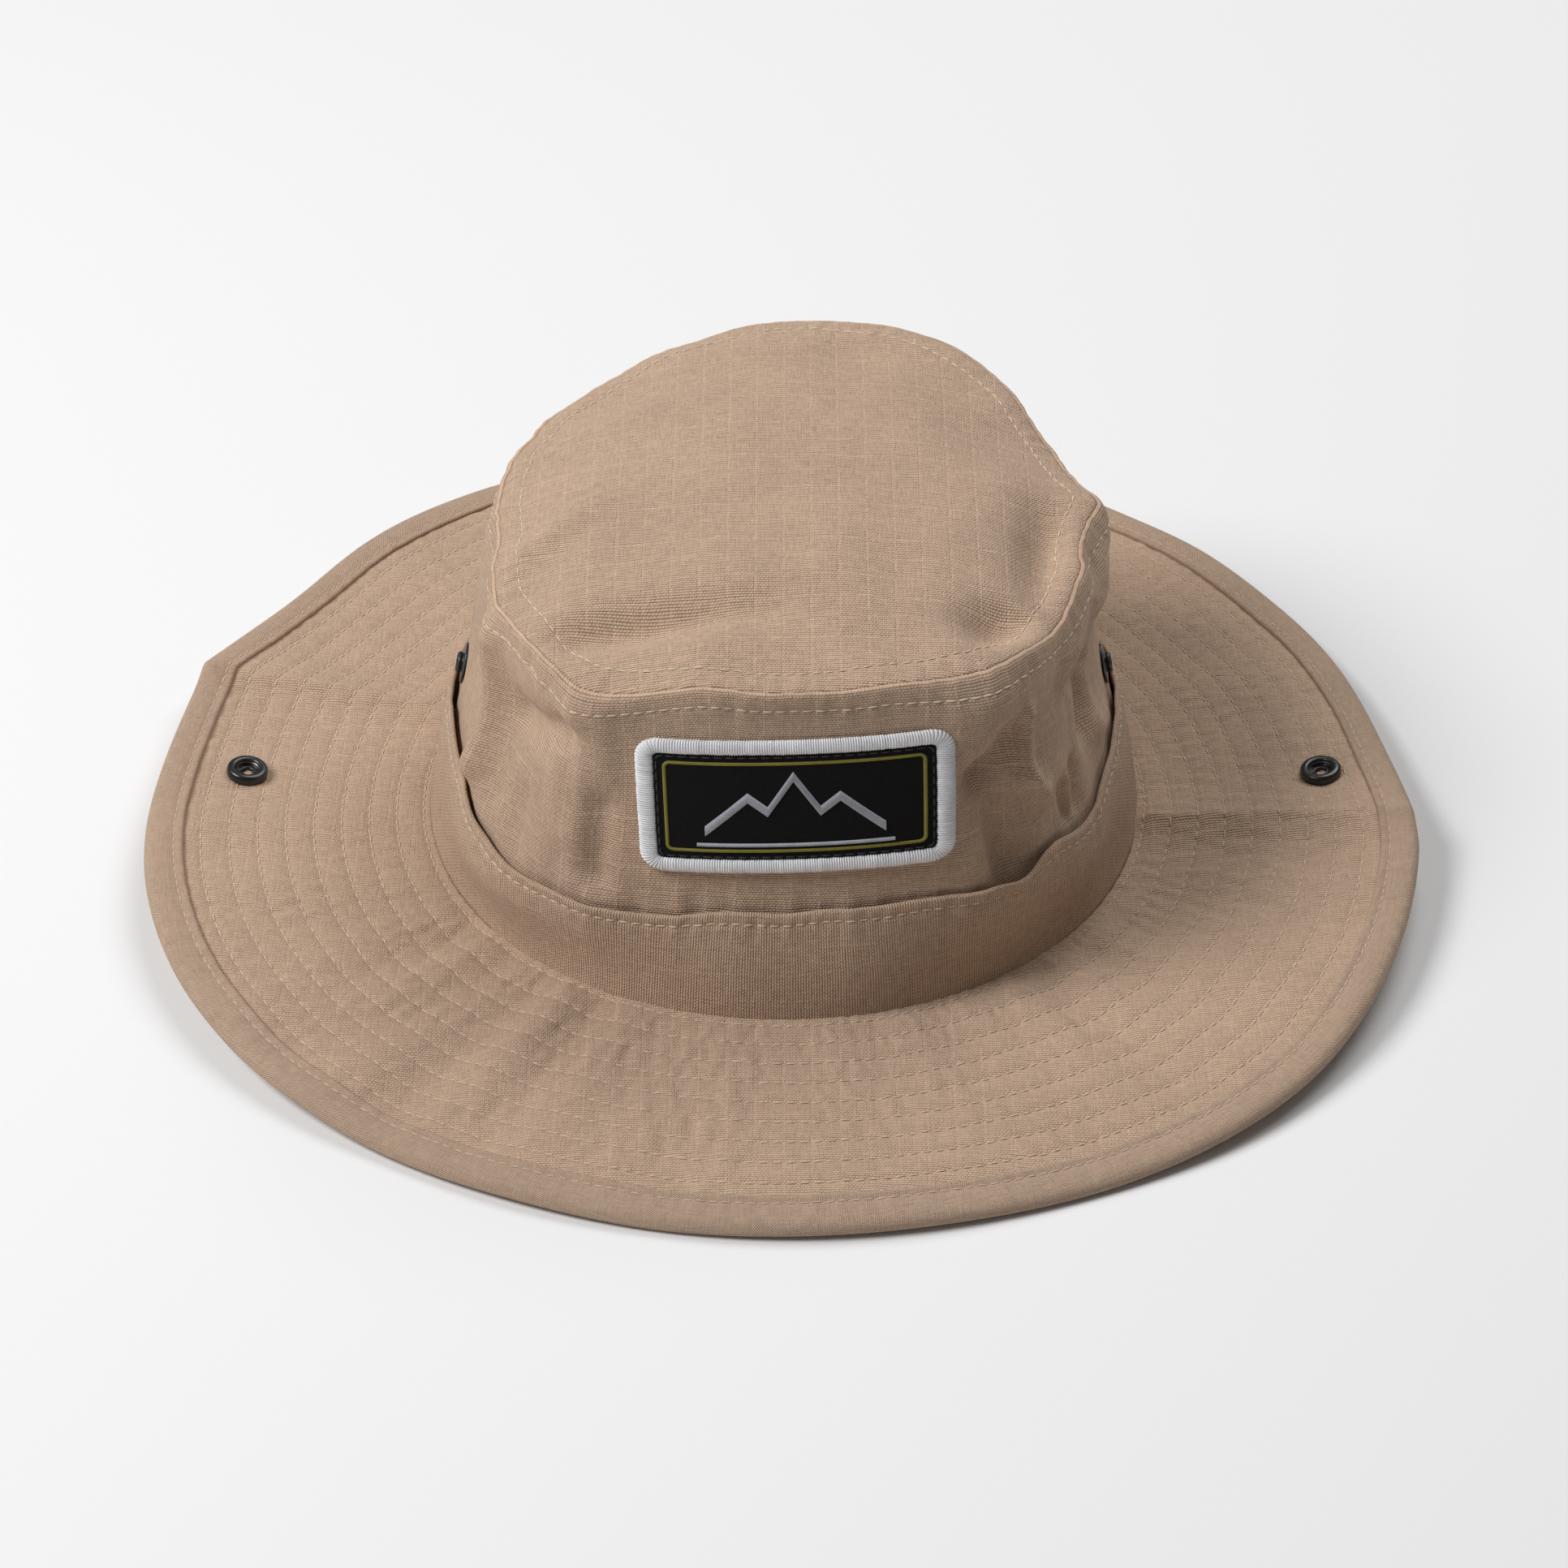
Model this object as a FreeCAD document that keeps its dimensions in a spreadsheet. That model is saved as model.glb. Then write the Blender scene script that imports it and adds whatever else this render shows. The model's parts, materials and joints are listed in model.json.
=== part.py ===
"""Boonie hat with turn-up brim sides, as a parametric document of separate sewn and fastened pieces.

Millimetres. +Z is up and the hat's front faces -Y. The origin is on the table, under the middle of the brim.
The brim is cut at two straight fold lines that run front to back beside the crown. Each side flap hinges there,
from lying flat, past a slight upturn at rest, to standing against the crown with its snap closed.
"""
import FreeCAD, Part
import math
import os
import Sketcher
from FreeCAD import Placement, Rotation, Vector

SIZES = {
    # Brim
    "rim_half_width": 170.0,
    "rim_half_length": 171.0,
    "hole_half_width": 92.2,
    "hole_half_length": 95.2,
    "ply_thickness": 0.8,
    "interlining_thickness": 0.6,
    "binding_thickness": 0.7,
    "binding_width": 11.0,
    "layer_gap": 0.05,
    # Side flaps
    "fold_line": 98.0,
    "fold_gap": 2.6,
    "fold_height": 1.9,
    "upturn_angle": 8.0,
    # Crown
    "crown_base_height": 3.1,
    "crown_base_half_width": 93.0,
    "crown_base_half_length": 96.0,
    "crown_waist_height": 62.0,
    "crown_waist_half_width": 80.0,
    "crown_waist_half_length": 86.4,
    "crown_waist_shift": 3.3,
    "crown_top_height": 97.5,
    "crown_top_half_width": 79.0,
    "crown_top_half_length": 81.0,
    "crown_top_shift": 4.0,
    "crown_top_tilt": 5.4,
    "cloth_thickness": 1.0,
    "seam_tape_width": 9.0,
    "band_thickness": 1.2,
    "band_top": 34.0,
    "sweatband_thickness": 1.2,
    "sweatband_base": 0.5,
    "sweatband_top": 34.0,
    # Patch on the front of the crown
    "patch_width": 76.0,
    "patch_height": 36.5,
    "patch_middle": 60.8,
    "patch_corner": 5.0,
    "border_width": 3.7,
    "border_thickness": 1.7,
    "field_thickness": 0.9,
    "line_inset": 2.2,
    "line_width": 0.9,
    "stitch_rise": 0.3,
    "motif_width": 44.0,
    "motif_height": 16.0,
    "motif_line": 2.6,
    # Snaps
    "snap_reach": 46.0,
    "snap_radius": 5.5,
    "snap_plate": 0.6,
    "socket_height": 2.6,
    "socket_bore": 3.1,
    "groove_depth": 0.55,
    "spring_wire": 0.5,
    "stud_neck": 2.55,
    "stud_bulb": 2.85,
    "stud_height": 2.2,
    "stud_bore": 2.2,
    "post_radius": 1.8,
    "post_wall": 0.35,
    "post_roll": 2.1,
    "cap_radius": 5.9,
    "cap_thickness": 0.8,
    "rivet_hole": 2.0,
}
FAR = 200.0  # reaches past every edge of the hat

doc = FreeCAD.newDocument("BoonieHat")
sheet = doc.addObject("Spreadsheet::Sheet", "Sizes")
for row, (alias, number) in enumerate(SIZES.items(), start=1):
    sheet.set(f"A{row}", alias)
    sheet.set(f"B{row}", str(number))
    sheet.setAlias(f"B{row}", alias)
doc.recompute()


def value(expression):
    """The number that an expression over the sheet gives."""
    return float(sheet.evalExpression(expression))


def of(alias):
    """The sheet's cell of that alias, as an expression names it."""
    return f"Sizes.{alias}"


def origin_plane(body, role):
    return next(f for f in body.Origin.OriginFeatures if f.Role == role)


def new_body(name):
    return doc.addObject("PartDesign::Body", name)


def sketch_on(body, name, role="XY_Plane", height="0", shift="0", tilted=False):
    """A sketch on an origin plane of its own body, raised to height; tilted puts it in the crown top's plane."""
    sketch = body.newObject("Sketcher::SketchObject", name)
    sketch.AttachmentSupport = [(origin_plane(body, role), "")]
    sketch.MapMode = "FlatFace"
    if tilted:
        sketch.AttachmentOffset = Placement(Vector(0, 0, 0), Rotation(Vector(1, 0, 0), 1.0))
        sketch.setExpression(".AttachmentOffset.Rotation.Angle", of("crown_top_tilt"))
    sketch.setExpression(".AttachmentOffset.Base.y", shift)
    sketch.setExpression(".AttachmentOffset.Base.z", height)
    return sketch


def add_oval(sketch, half_x, half_y):
    """An ellipse about the sketch's origin, longer along its Y, with both of its axes bound to expressions."""
    major, minor = value(half_y), value(half_x)
    oval = sketch.addGeometry(Part.Ellipse(Vector(0, major, 0), Vector(minor, 0, 0), Vector(0, 0, 0)), False)
    sketch.exposeInternalGeometry(oval)
    long_axis, short_axis = oval + 1, oval + 2
    sketch.addConstraint(Sketcher.Constraint("Coincident", oval, 3, -1, 1))
    sketch.addConstraint(Sketcher.Constraint("PointOnObject", long_axis, 1, -2))
    for line, half, number in ((long_axis, half_y, major), (short_axis, half_x, minor)):
        index = sketch.addConstraint(Sketcher.Constraint("Distance", line, 2 * number))
        sketch.setExpression(f"Constraints[{index}]", f"2 * ({half})")


def add_circle(sketch, centre_x, radius):
    """A circle on the sketch's X axis."""
    circle = sketch.addGeometry(Part.Circle(Vector(value(centre_x), 0, 0), Vector(0, 0, 1), value(radius)), False)
    sketch.addConstraint(Sketcher.Constraint("PointOnObject", circle, 3, -1))
    place = sketch.addConstraint(Sketcher.Constraint("DistanceX", -1, 1, circle, 3, value(centre_x)))
    sketch.setExpression(f"Constraints[{place}]", centre_x)
    size = sketch.addConstraint(Sketcher.Constraint("Radius", circle, value(radius)))
    sketch.setExpression(f"Constraints[{size}]", radius)


def add_outline(sketch, corners):
    """A closed outline of straight edges; each corner is a pair of expressions, measured from the sketch's origin."""
    points = [Vector(value(x), value(y), 0) for x, y in corners]
    lines = []
    for start, end in zip(points, points[1:] + points[:1]):
        lines.append(sketch.addGeometry(Part.LineSegment(start, end), False))
    for line, following in zip(lines, lines[1:] + lines[:1]):
        sketch.addConstraint(Sketcher.Constraint("Coincident", line, 2, following, 1))
    for line, (x, y), point in zip(lines, corners, points):
        across = sketch.addConstraint(Sketcher.Constraint("DistanceX", -1, 1, line, 1, point.x))
        sketch.setExpression(f"Constraints[{across}]", x)
        upward = sketch.addConstraint(Sketcher.Constraint("DistanceY", -1, 1, line, 1, point.y))
        sketch.setExpression(f"Constraints[{upward}]", y)


def pad(body, sketch, length, reversed_way=False):
    feature = body.newObject("PartDesign::Pad", f"{sketch.Name}_pad")
    feature.Profile = sketch
    feature.setExpression("Length", length)
    feature.Reversed = reversed_way
    sketch.Visibility = False
    return feature


def pocket_through(body, sketch):
    """Cuts the sketch's outline out of the whole body, both ways."""
    doc.recompute()
    before = body.Shape.Volume
    feature = body.newObject("PartDesign::Pocket", f"{sketch.Name}_pocket")
    feature.Profile = sketch
    feature.Type = 1
    feature.Midplane = True
    doc.recompute()
    if body.Shape.Volume >= before:
        raise RuntimeError(f"{feature.Name} cuts nothing")
    return feature


def oval_ring(body, name, outer, inner, height, thickness):
    """A flat oval ring between two insets from the brim's rim and hole, or between any two pairs of half axes."""
    sketch = sketch_on(body, name, height=height)
    add_oval(sketch, *outer)
    add_oval(sketch, *inner)
    return pad(body, sketch, thickness)


def box(name, x, y, z, length, width, height):
    """A Part box whose corner and sizes are expressions."""
    block = doc.addObject("Part::Box", name)
    for prop, expression in (("Length", length), ("Width", width), ("Height", height)):
        block.setExpression(prop, expression)
    for axis, expression in (("x", x), ("y", y), ("z", z)):
        block.setExpression(f".Placement.Base.{axis}", expression)
    return block


def common(label, whole, zone):
    piece = doc.addObject("Part::Common", label)
    piece.Base = whole
    piece.Tool = zone
    piece.Label = label
    return piece


def cut(label, whole, tool):
    piece = doc.addObject("Part::Cut", label)
    piece.Base = whole
    piece.Tool = tool
    piece.Label = label
    return piece


# --- Places that the snaps and flaps share ---------------------------------------------------------------

# The crown's side leans in as it rises to the waist, in degrees from upright:
LEAN = math.degrees(math.atan2(
    value("Sizes.crown_base_half_width - Sizes.crown_waist_half_width"),
    value("Sizes.crown_waist_height - Sizes.crown_base_height"),
))


def fold_placement(side):
    """Turns a flat flap up about its fold line to the angle it rests at. side is +1 for +X and -1 for -X."""
    centre = Vector(side * value(of("fold_line")), 0, value(of("fold_height")))
    return Placement(Vector(0, 0, 0), Rotation(Vector(0, -side, 0), value(of("upturn_angle"))), centre)


def crown_snap_placement(side, clearance):
    """Puts a snap half's base on the crown's side, its axis square to the cloth, clearance off its outer face."""
    lean = math.radians(LEAN)
    outward = Vector(side * math.cos(lean), 0, math.sin(lean))
    upward = Vector(-side * math.sin(lean), 0, math.cos(lean))
    base = Vector(side * value(of("crown_base_half_width")), 0, value(of("crown_base_height")))
    hinge = Vector(side * value(of("fold_line")), 0, value(of("fold_height")))
    foot = (hinge - base).dot(upward)
    place = base + upward * (foot + value(of("snap_reach"))) + outward * clearance
    return Placement(place, Rotation(Vector(0, 0, 1), outward))


def brim_snap_placement(side, height):
    """Puts a snap half on the flap, its axis square to the flat brim, then turns it up with the flap."""
    flat = Placement(Vector(side * value("Sizes.fold_line + Sizes.snap_reach"), 0, height), Rotation())
    return fold_placement(side).multiply(flat)


# --- Brim -------------------------------------------------------------------------------------------------

PLY_BASE = {
    "bottom_ply": "Sizes.binding_thickness + Sizes.layer_gap",
    "interlining": "Sizes.binding_thickness + Sizes.ply_thickness + 2 * Sizes.layer_gap",
    "top_ply": "Sizes.binding_thickness + Sizes.ply_thickness + Sizes.interlining_thickness + 3 * Sizes.layer_gap",
}
PLY_THICKNESS = {"bottom_ply": "ply_thickness", "interlining": "interlining_thickness", "top_ply": "ply_thickness"}
BRIM_DEPTH = "(2 * Sizes.binding_thickness + 2 * Sizes.ply_thickness + Sizes.interlining_thickness + 4 * Sizes.layer_gap)"


def rim(inset="0"):
    return f"Sizes.rim_half_width - {inset}", f"Sizes.rim_half_length - {inset}"


def brim_ply(name):
    """One whole layer of the brim, with a rivet hole for each snap."""
    body = new_body(f"{name}_whole")
    edge = "(Sizes.binding_thickness + Sizes.layer_gap)"
    hole = (of("hole_half_width"), of("hole_half_length"))
    oval_ring(body, f"{name}_outline", rim(edge), hole, PLY_BASE[name], of(PLY_THICKNESS[name]))
    holes = sketch_on(body, f"{name}_holes")
    for sign in ("", "-"):
        add_circle(holes, f"{sign}(Sizes.fold_line + Sizes.snap_reach)", of("rivet_hole"))
    pocket_through(body, holes)
    return body


def brim_binding():
    """The bias tape that wraps the brim's edge: a strip below, a strip above and the fold that joins them."""
    body = new_body("edge_binding_whole")
    inner = rim(of("binding_width"))
    oval_ring(body, "binding_under", rim(), inner, "0", of("binding_thickness"))
    oval_ring(body, "binding_fold", rim(), rim(of("binding_thickness")), "0", BRIM_DEPTH)
    over = f"{BRIM_DEPTH} - Sizes.binding_thickness"
    oval_ring(body, "binding_over", rim(), inner, over, of("binding_thickness"))
    return body


def brim_zones():
    """The boxes that keep each zone of the brim: the fixed middle, its front and back halves, and the flaps."""
    low, tall = "-50", "100"
    inside = "(Sizes.fold_line - Sizes.fold_gap)"
    outside = "(Sizes.fold_line + Sizes.fold_gap)"
    far, wide = str(FAR), str(2 * FAR)
    return {
        "centre": box("centre_zone", f"-{inside}", f"-{far}", low, f"2 * {inside}", wide, tall),
        "front": box("front_zone", f"-{inside}", f"-{far}", low, f"2 * {inside}", far, tall),
        "back": box("back_zone", f"-{inside}", "0", low, f"2 * {inside}", far, tall),
        "right": box("right_zone", outside, f"-{far}", low, f"{far} - {outside}", wide, tall),
        "left": box("left_zone", f"-{far}", f"-{far}", low, f"{far} - {outside}", wide, tall),
    }


def make_brim():
    zones = brim_zones()
    pieces = []
    for name in PLY_BASE:
        whole = brim_ply(name)
        pieces.append(common(f"centre_brim_{name}", whole, zones["centre"]))
        for side, word in ((1, "right"), (-1, "left")):
            flap = common(f"{word}_brim_{name}", whole, zones[word])
            flap.Placement = fold_placement(side)
            pieces.append(flap)
    binding = brim_binding()
    for word in ("front", "back"):
        pieces.append(common(f"{word}_edge_binding", binding, zones[word]))
    for side, word in ((1, "right"), (-1, "left")):
        flap = common(f"{word}_edge_binding", binding, zones[word])
        flap.Placement = fold_placement(side)
        pieces.append(flap)
    return pieces


# --- Crown ------------------------------------------------------------------------------------------------

def crown_oval(level, offset):
    """Half axes of the crown's outer face at its base, waist or top, moved out by offset."""
    return tuple(f"Sizes.crown_{level}_half_{axis} + ({offset})" for axis in ("width", "length"))


def crown_sketch(body, name, level, height, offset):
    """The crown's outline at one level, moved out by offset."""
    shift = "0" if level == "base" else of(f"crown_{level}_shift")
    sketch = sketch_on(body, name, height=height, shift=shift, tilted=level == "top")
    add_oval(sketch, *crown_oval(level, offset))
    return sketch


def crown_shell(name, outer, inner, base="Sizes.crown_base_height"):
    """A shell between two offsets from the crown's outer face, from base to the crown top's plane."""
    body = new_body(name)
    for kind, offset in (("AdditiveLoft", outer), ("SubtractiveLoft", inner)):
        levels = (("base", base), ("waist", of("crown_waist_height")), ("top", of("crown_top_height")))
        sections = []
        for level, height in levels:
            sections.append(crown_sketch(body, f"{name}_{kind}_{level}", level, height, offset))
        doc.recompute()
        loft = body.newObject(f"PartDesign::{kind}", f"{name}_{kind}")
        loft.Profile = sections[0]
        loft.Sections = sections[1:]
        loft.Ruled = True
        doc.recompute()
    return body


def cylinder_tool(name, side):
    """The rivet hole through the crown's side."""
    tool = doc.addObject("Part::Cylinder", name)
    tool.setExpression("Radius", of("rivet_hole"))
    tool.Height = 12
    tool.Placement = crown_snap_placement(side, -6)
    return tool


def make_crown():
    wall = crown_shell("crown_wall_whole", "0", "-Sizes.cloth_thickness")
    drilled = cut("crown_wall_right_hole", wall, cylinder_tool("right_rivet_hole", 1))
    side_wall = cut("crown_side_wall", drilled, cylinder_tool("left_rivet_hole", -1))

    top = new_body("crown_top_panel")
    outline = crown_sketch(top, "top_outline", "top", "Sizes.crown_top_height + 0.05", "0")
    pad(top, outline, of("cloth_thickness"))

    tape = new_body("top_seam_tape")
    tape_ring = crown_sketch(tape, "tape_outline", "top", "Sizes.crown_top_height - 0.05",
                             "-Sizes.cloth_thickness - 0.1")
    add_oval(tape_ring, *crown_oval("top", "-Sizes.cloth_thickness - Sizes.seam_tape_width"))
    pad(tape, tape_ring, of("interlining_thickness"), reversed_way=True)

    below_band_top = box("band_zone", str(-FAR), str(-FAR), "0", str(2 * FAR), str(2 * FAR), of("band_top"))
    band_whole = crown_shell("hat_band_whole", "0.1 + Sizes.band_thickness", "0.1")
    band = common("hat_band", band_whole, below_band_top)

    sweat_zone = box("sweatband_zone", str(-FAR), str(-FAR), "0", str(2 * FAR), str(2 * FAR), of("sweatband_top"))
    lining = "-Sizes.cloth_thickness - 0.1"
    sweat_whole = crown_shell("sweatband_whole", lining, f"{lining} - Sizes.sweatband_thickness",
                              base=of("sweatband_base"))
    sweatband = common("sweatband", sweat_whole, sweat_zone)
    return [side_wall, top, tape, band, sweatband]


# --- Patch ------------------------------------------------------------------------------------------------

def patch_prism(name, half_width, half_height, corner="0"):
    """A rounded block through the front of the crown, about the patch's middle."""
    block = box(name, f"-({half_width})", str(-FAR), f"Sizes.patch_middle - ({half_height})",
                f"2 * ({half_width})", str(FAR), f"2 * ({half_height})")
    if value(corner) == 0:
        return block
    doc.recompute()
    rounded = doc.addObject("Part::Fillet", f"{name}_rounded")
    rounded.Base = block
    radius = value(corner)
    along_y = [i for i, edge in enumerate(block.Shape.Edges, start=1) if abs(edge.tangentAt(0).y) > 0.9]
    rounded.Edges = [(i, radius, radius) for i in along_y]
    return rounded


def patch_motif_prism():
    """A line of three peaks, as a band of constant width."""
    body = new_body("motif_prism")
    sketch = sketch_on(body, "motif_outline", role="XZ_Plane")
    half, rise = "Sizes.motif_width / 2", "Sizes.motif_height"
    low = "Sizes.patch_middle - Sizes.motif_height / 2"
    steps = (("-1", "0"), ("-0.5", "0.6"), ("-0.3", "0.35"), ("0", "1"), ("0.3", "0.35"), ("0.5", "0.6"), ("1", "0"))
    upper = [(f"{x} * {half}", f"{low} + {y} * {rise}") for x, y in steps]
    under = [(f"{x} * {half}", f"{low} + {y} * {rise} - Sizes.motif_line") for x, y in reversed(steps)]
    add_outline(sketch, upper + under)
    pad(body, sketch, str(FAR))
    doc.recompute()
    if body.Shape.BoundBox.YMax > 1:
        body.Tip.Reversed = True
    return body


def make_patch():
    half_w, half_h = "Sizes.patch_width / 2", "Sizes.patch_height / 2"
    inset = "Sizes.border_width"
    field_face = "0.1 + Sizes.field_thickness"
    raised = f"{field_face} + 0.02 + Sizes.stitch_rise"

    outer = patch_prism("patch_outline", half_w, half_h, of("patch_corner"))
    opening = patch_prism("patch_opening", f"{half_w} - {inset}", f"{half_h} - {inset}", "Sizes.patch_corner - 3")
    frame_block = cut("patch_frame_block", outer, opening)
    border_shell = crown_shell("border_shell", "0.1 + Sizes.border_thickness", "0.1")
    border = common("patch_border", border_shell, frame_block)

    clear = f"{inset} + 0.05"
    field_block = patch_prism("field_block", f"{half_w} - ({clear})", f"{half_h} - ({clear})", "Sizes.patch_corner - 3")
    field_shell = crown_shell("field_shell", field_face, "0.1")
    field = common("patch_field", field_shell, field_block)

    line_out = f"{inset} + Sizes.line_inset"
    line_in = f"{line_out} + Sizes.line_width"
    outside = patch_prism("line_outside", f"{half_w} - ({line_out})", f"{half_h} - ({line_out})", "1.6")
    inside = patch_prism("line_inside", f"{half_w} - ({line_in})", f"{half_h} - ({line_in})", "0.7")
    line_block = cut("line_block", outside, inside)
    thread_shell = crown_shell("thread_shell", raised, f"{field_face} + 0.02")
    inline = common("patch_inline", thread_shell, line_block)
    motif = common("patch_motif", thread_shell, patch_motif_prism())
    return [border, field, inline, motif]


# --- Snaps ------------------------------------------------------------------------------------------------

def turned_piece(label, corners):
    """A body of revolution about Z from a closed profile of (radius, height) expressions."""
    body = new_body(label)
    sketch = sketch_on(body, f"{label}_profile", role="XZ_Plane")
    add_outline(sketch, corners)
    doc.recompute()
    turn = body.newObject("PartDesign::Revolution", f"{label}_turn")
    turn.Profile = sketch
    turn.ReferenceAxis = (sketch, ["V_Axis"])
    turn.Angle = 360
    doc.recompute()
    return body


def snap_socket(label):
    """The female ring: a base plate, a thick wall with a rounded lip, and a groove for the ring spring."""
    plate, top, bore, radius = (of(a) for a in ("snap_plate", "socket_height", "socket_bore", "snap_radius"))
    lip = "0.7"
    groove = f"{bore} + Sizes.groove_depth"
    return turned_piece(label, [
        (f"{of('post_radius')} + 0.1", "0"), (radius, "0"), (radius, f"{top} - {lip}"),
        (f"{radius} - 0.2 * {lip}", f"{top} - 0.4 * {lip}"), (f"{radius} - {lip}", top),
        (f"{bore} + 0.4", top), (bore, f"{top} - 0.4"), (bore, f"{plate} + 1.1"), (groove, f"{plate} + 1.1"),
        (groove, f"{plate} + 0.4"), (bore, f"{plate} + 0.4"), (bore, plate), (f"{of('post_radius')} + 0.1", plate),
    ])


def socket_spring(label):
    """A split ring of round wire that sits in the socket's groove."""
    body = new_body(label)
    sketch = sketch_on(body, f"{label}_wire", role="XZ_Plane")
    wire = sketch.addGeometry(Part.Circle(Vector(3.3, 1.35, 0), Vector(0, 0, 1), 0.25), False)
    places = (
        ("DistanceX", "Sizes.socket_bore + Sizes.groove_depth - Sizes.spring_wire / 2 - 0.03"),
        ("DistanceY", "Sizes.snap_plate + 0.75"),
    )
    for kind, expression in places:
        index = sketch.addConstraint(Sketcher.Constraint(kind, -1, 1, wire, 3, value(expression)))
        sketch.setExpression(f"Constraints[{index}]", expression)
    size = sketch.addConstraint(Sketcher.Constraint("Radius", wire, 0.25))
    sketch.setExpression(f"Constraints[{size}]", "Sizes.spring_wire / 2")
    doc.recompute()
    turn = body.newObject("PartDesign::Revolution", f"{label}_turn")
    turn.Profile = sketch
    turn.ReferenceAxis = (sketch, ["V_Axis"])
    turn.Angle = 320
    return body


def post_profile(layers, head):
    """A rivet: a head below, a tube up through the cloth and the half's plate, and a rolled end above it."""
    tube, bore, roll = of("post_radius"), "Sizes.post_radius - Sizes.post_wall", of("post_roll")
    seat = f"({layers}) + Sizes.snap_plate + 0.05"
    return [
        *head, (tube, "0"), (tube, seat), (roll, seat), (roll, f"{seat} + 0.25"),
        (tube, f"{seat} + 0.4"), (bore, f"{seat} + 0.25"), (bore, "0.2"), ("0", "0.2"),
    ]


def brim_cap(label, layers):
    """The smooth cap under the brim, with the post that the socket is riveted to."""
    radius, depth = of("cap_radius"), of("cap_thickness")
    head = [("0", f"-{depth}"), (f"0.7 * {radius}", f"-{depth}"), (f"0.95 * {radius}", f"-0.6 * {depth}"),
            (radius, f"-0.2 * {depth}"), (radius, "0")]
    return turned_piece(label, post_profile(layers, head))


def crown_post(label, layers):
    """The flat ring rivet inside the crown, which holds the stud."""
    radius = "Sizes.snap_radius - 0.5"
    head = [("0", f"-{of('snap_plate')}"), (radius, f"-{of('snap_plate')}"), (radius, "0")]
    return turned_piece(label, post_profile(layers, head))


def snap_stud(label):
    """The male half: a base plate and a hollow barrel with a bulb that the socket's spring grips."""
    plate, neck, bulb, top, bore = (of(a) for a in ("snap_plate", "stud_neck", "stud_bulb", "stud_height", "stud_bore"))
    return turned_piece(label, [
        (f"{of('post_radius')} + 0.1", "0"), (of("snap_radius"), "0"), (of("snap_radius"), f"0.6 * {plate}"),
        (f"{of('snap_radius')} - 0.4", plate), (neck, plate), (neck, f"{plate} + 0.5"), (bulb, f"{plate} + 0.9"),
        (bulb, f"{top} - 0.35"), (f"{bulb} - 0.35", top), (bore, top), (bore, plate), (f"{of('post_radius')} + 0.1", plate),
    ])


def make_snaps():
    brim_layers = "2 * Sizes.ply_thickness + Sizes.interlining_thickness + 2 * Sizes.layer_gap + 0.1"
    brim_top = value(f"{PLY_BASE['top_ply']} + Sizes.ply_thickness") + 0.05
    brim_under = value(PLY_BASE["bottom_ply"]) - 0.05
    stud_clearance, post_clearance = 0.05, -value(of("cloth_thickness")) - 0.25
    wall_layers = f"Sizes.cloth_thickness + {0.25 + stud_clearance}"
    pieces = []
    for side, word in ((1, "right"), (-1, "left")):
        for label, make, place in (
            (f"{word}_snap_socket", snap_socket, brim_snap_placement(side, brim_top)),
            (f"{word}_socket_spring", socket_spring, brim_snap_placement(side, brim_top)),
            (f"{word}_snap_cap", lambda name: brim_cap(name, brim_layers), brim_snap_placement(side, brim_under)),
            (f"{word}_snap_stud", snap_stud, crown_snap_placement(side, stud_clearance)),
            (f"{word}_stud_post", lambda name: crown_post(name, wall_layers),
             crown_snap_placement(side, post_clearance)),
        ):
            piece = make(label)
            piece.Placement = place
            pieces.append(piece)
    return pieces


# --- Document and files -----------------------------------------------------------------------------------

def check(pieces):
    """Stops if any object failed, or a piece's shape is empty or invalid."""
    for item in doc.Objects:
        if {"Invalid", "Error"} & set(item.State):
            raise RuntimeError(f"{item.Name} failed: {item.State}")
    for piece in pieces:
        if piece.Shape.isNull() or not piece.Shape.isValid() or not piece.Shape.Solids:
            raise RuntimeError(f"{piece.Label} has no valid solid")


def main():
    pieces = make_brim() + make_crown() + make_patch() + make_snaps()
    doc.recompute()
    check(pieces)
    os.makedirs("parts", exist_ok=True)
    for piece in pieces:
        piece.Shape.exportStep(os.path.join("parts", f"{piece.Label}.step"))
        box_of = piece.Shape.BoundBox
        print(f"{piece.Label}: {len(piece.Shape.Solids)} solid, {piece.Shape.Volume:.0f} mm3, "
              f"{box_of.XLength:.1f} x {box_of.YLength:.1f} x {box_of.ZLength:.1f}")
    print(f"lean {LEAN:.2f} degrees")


main()
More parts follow.
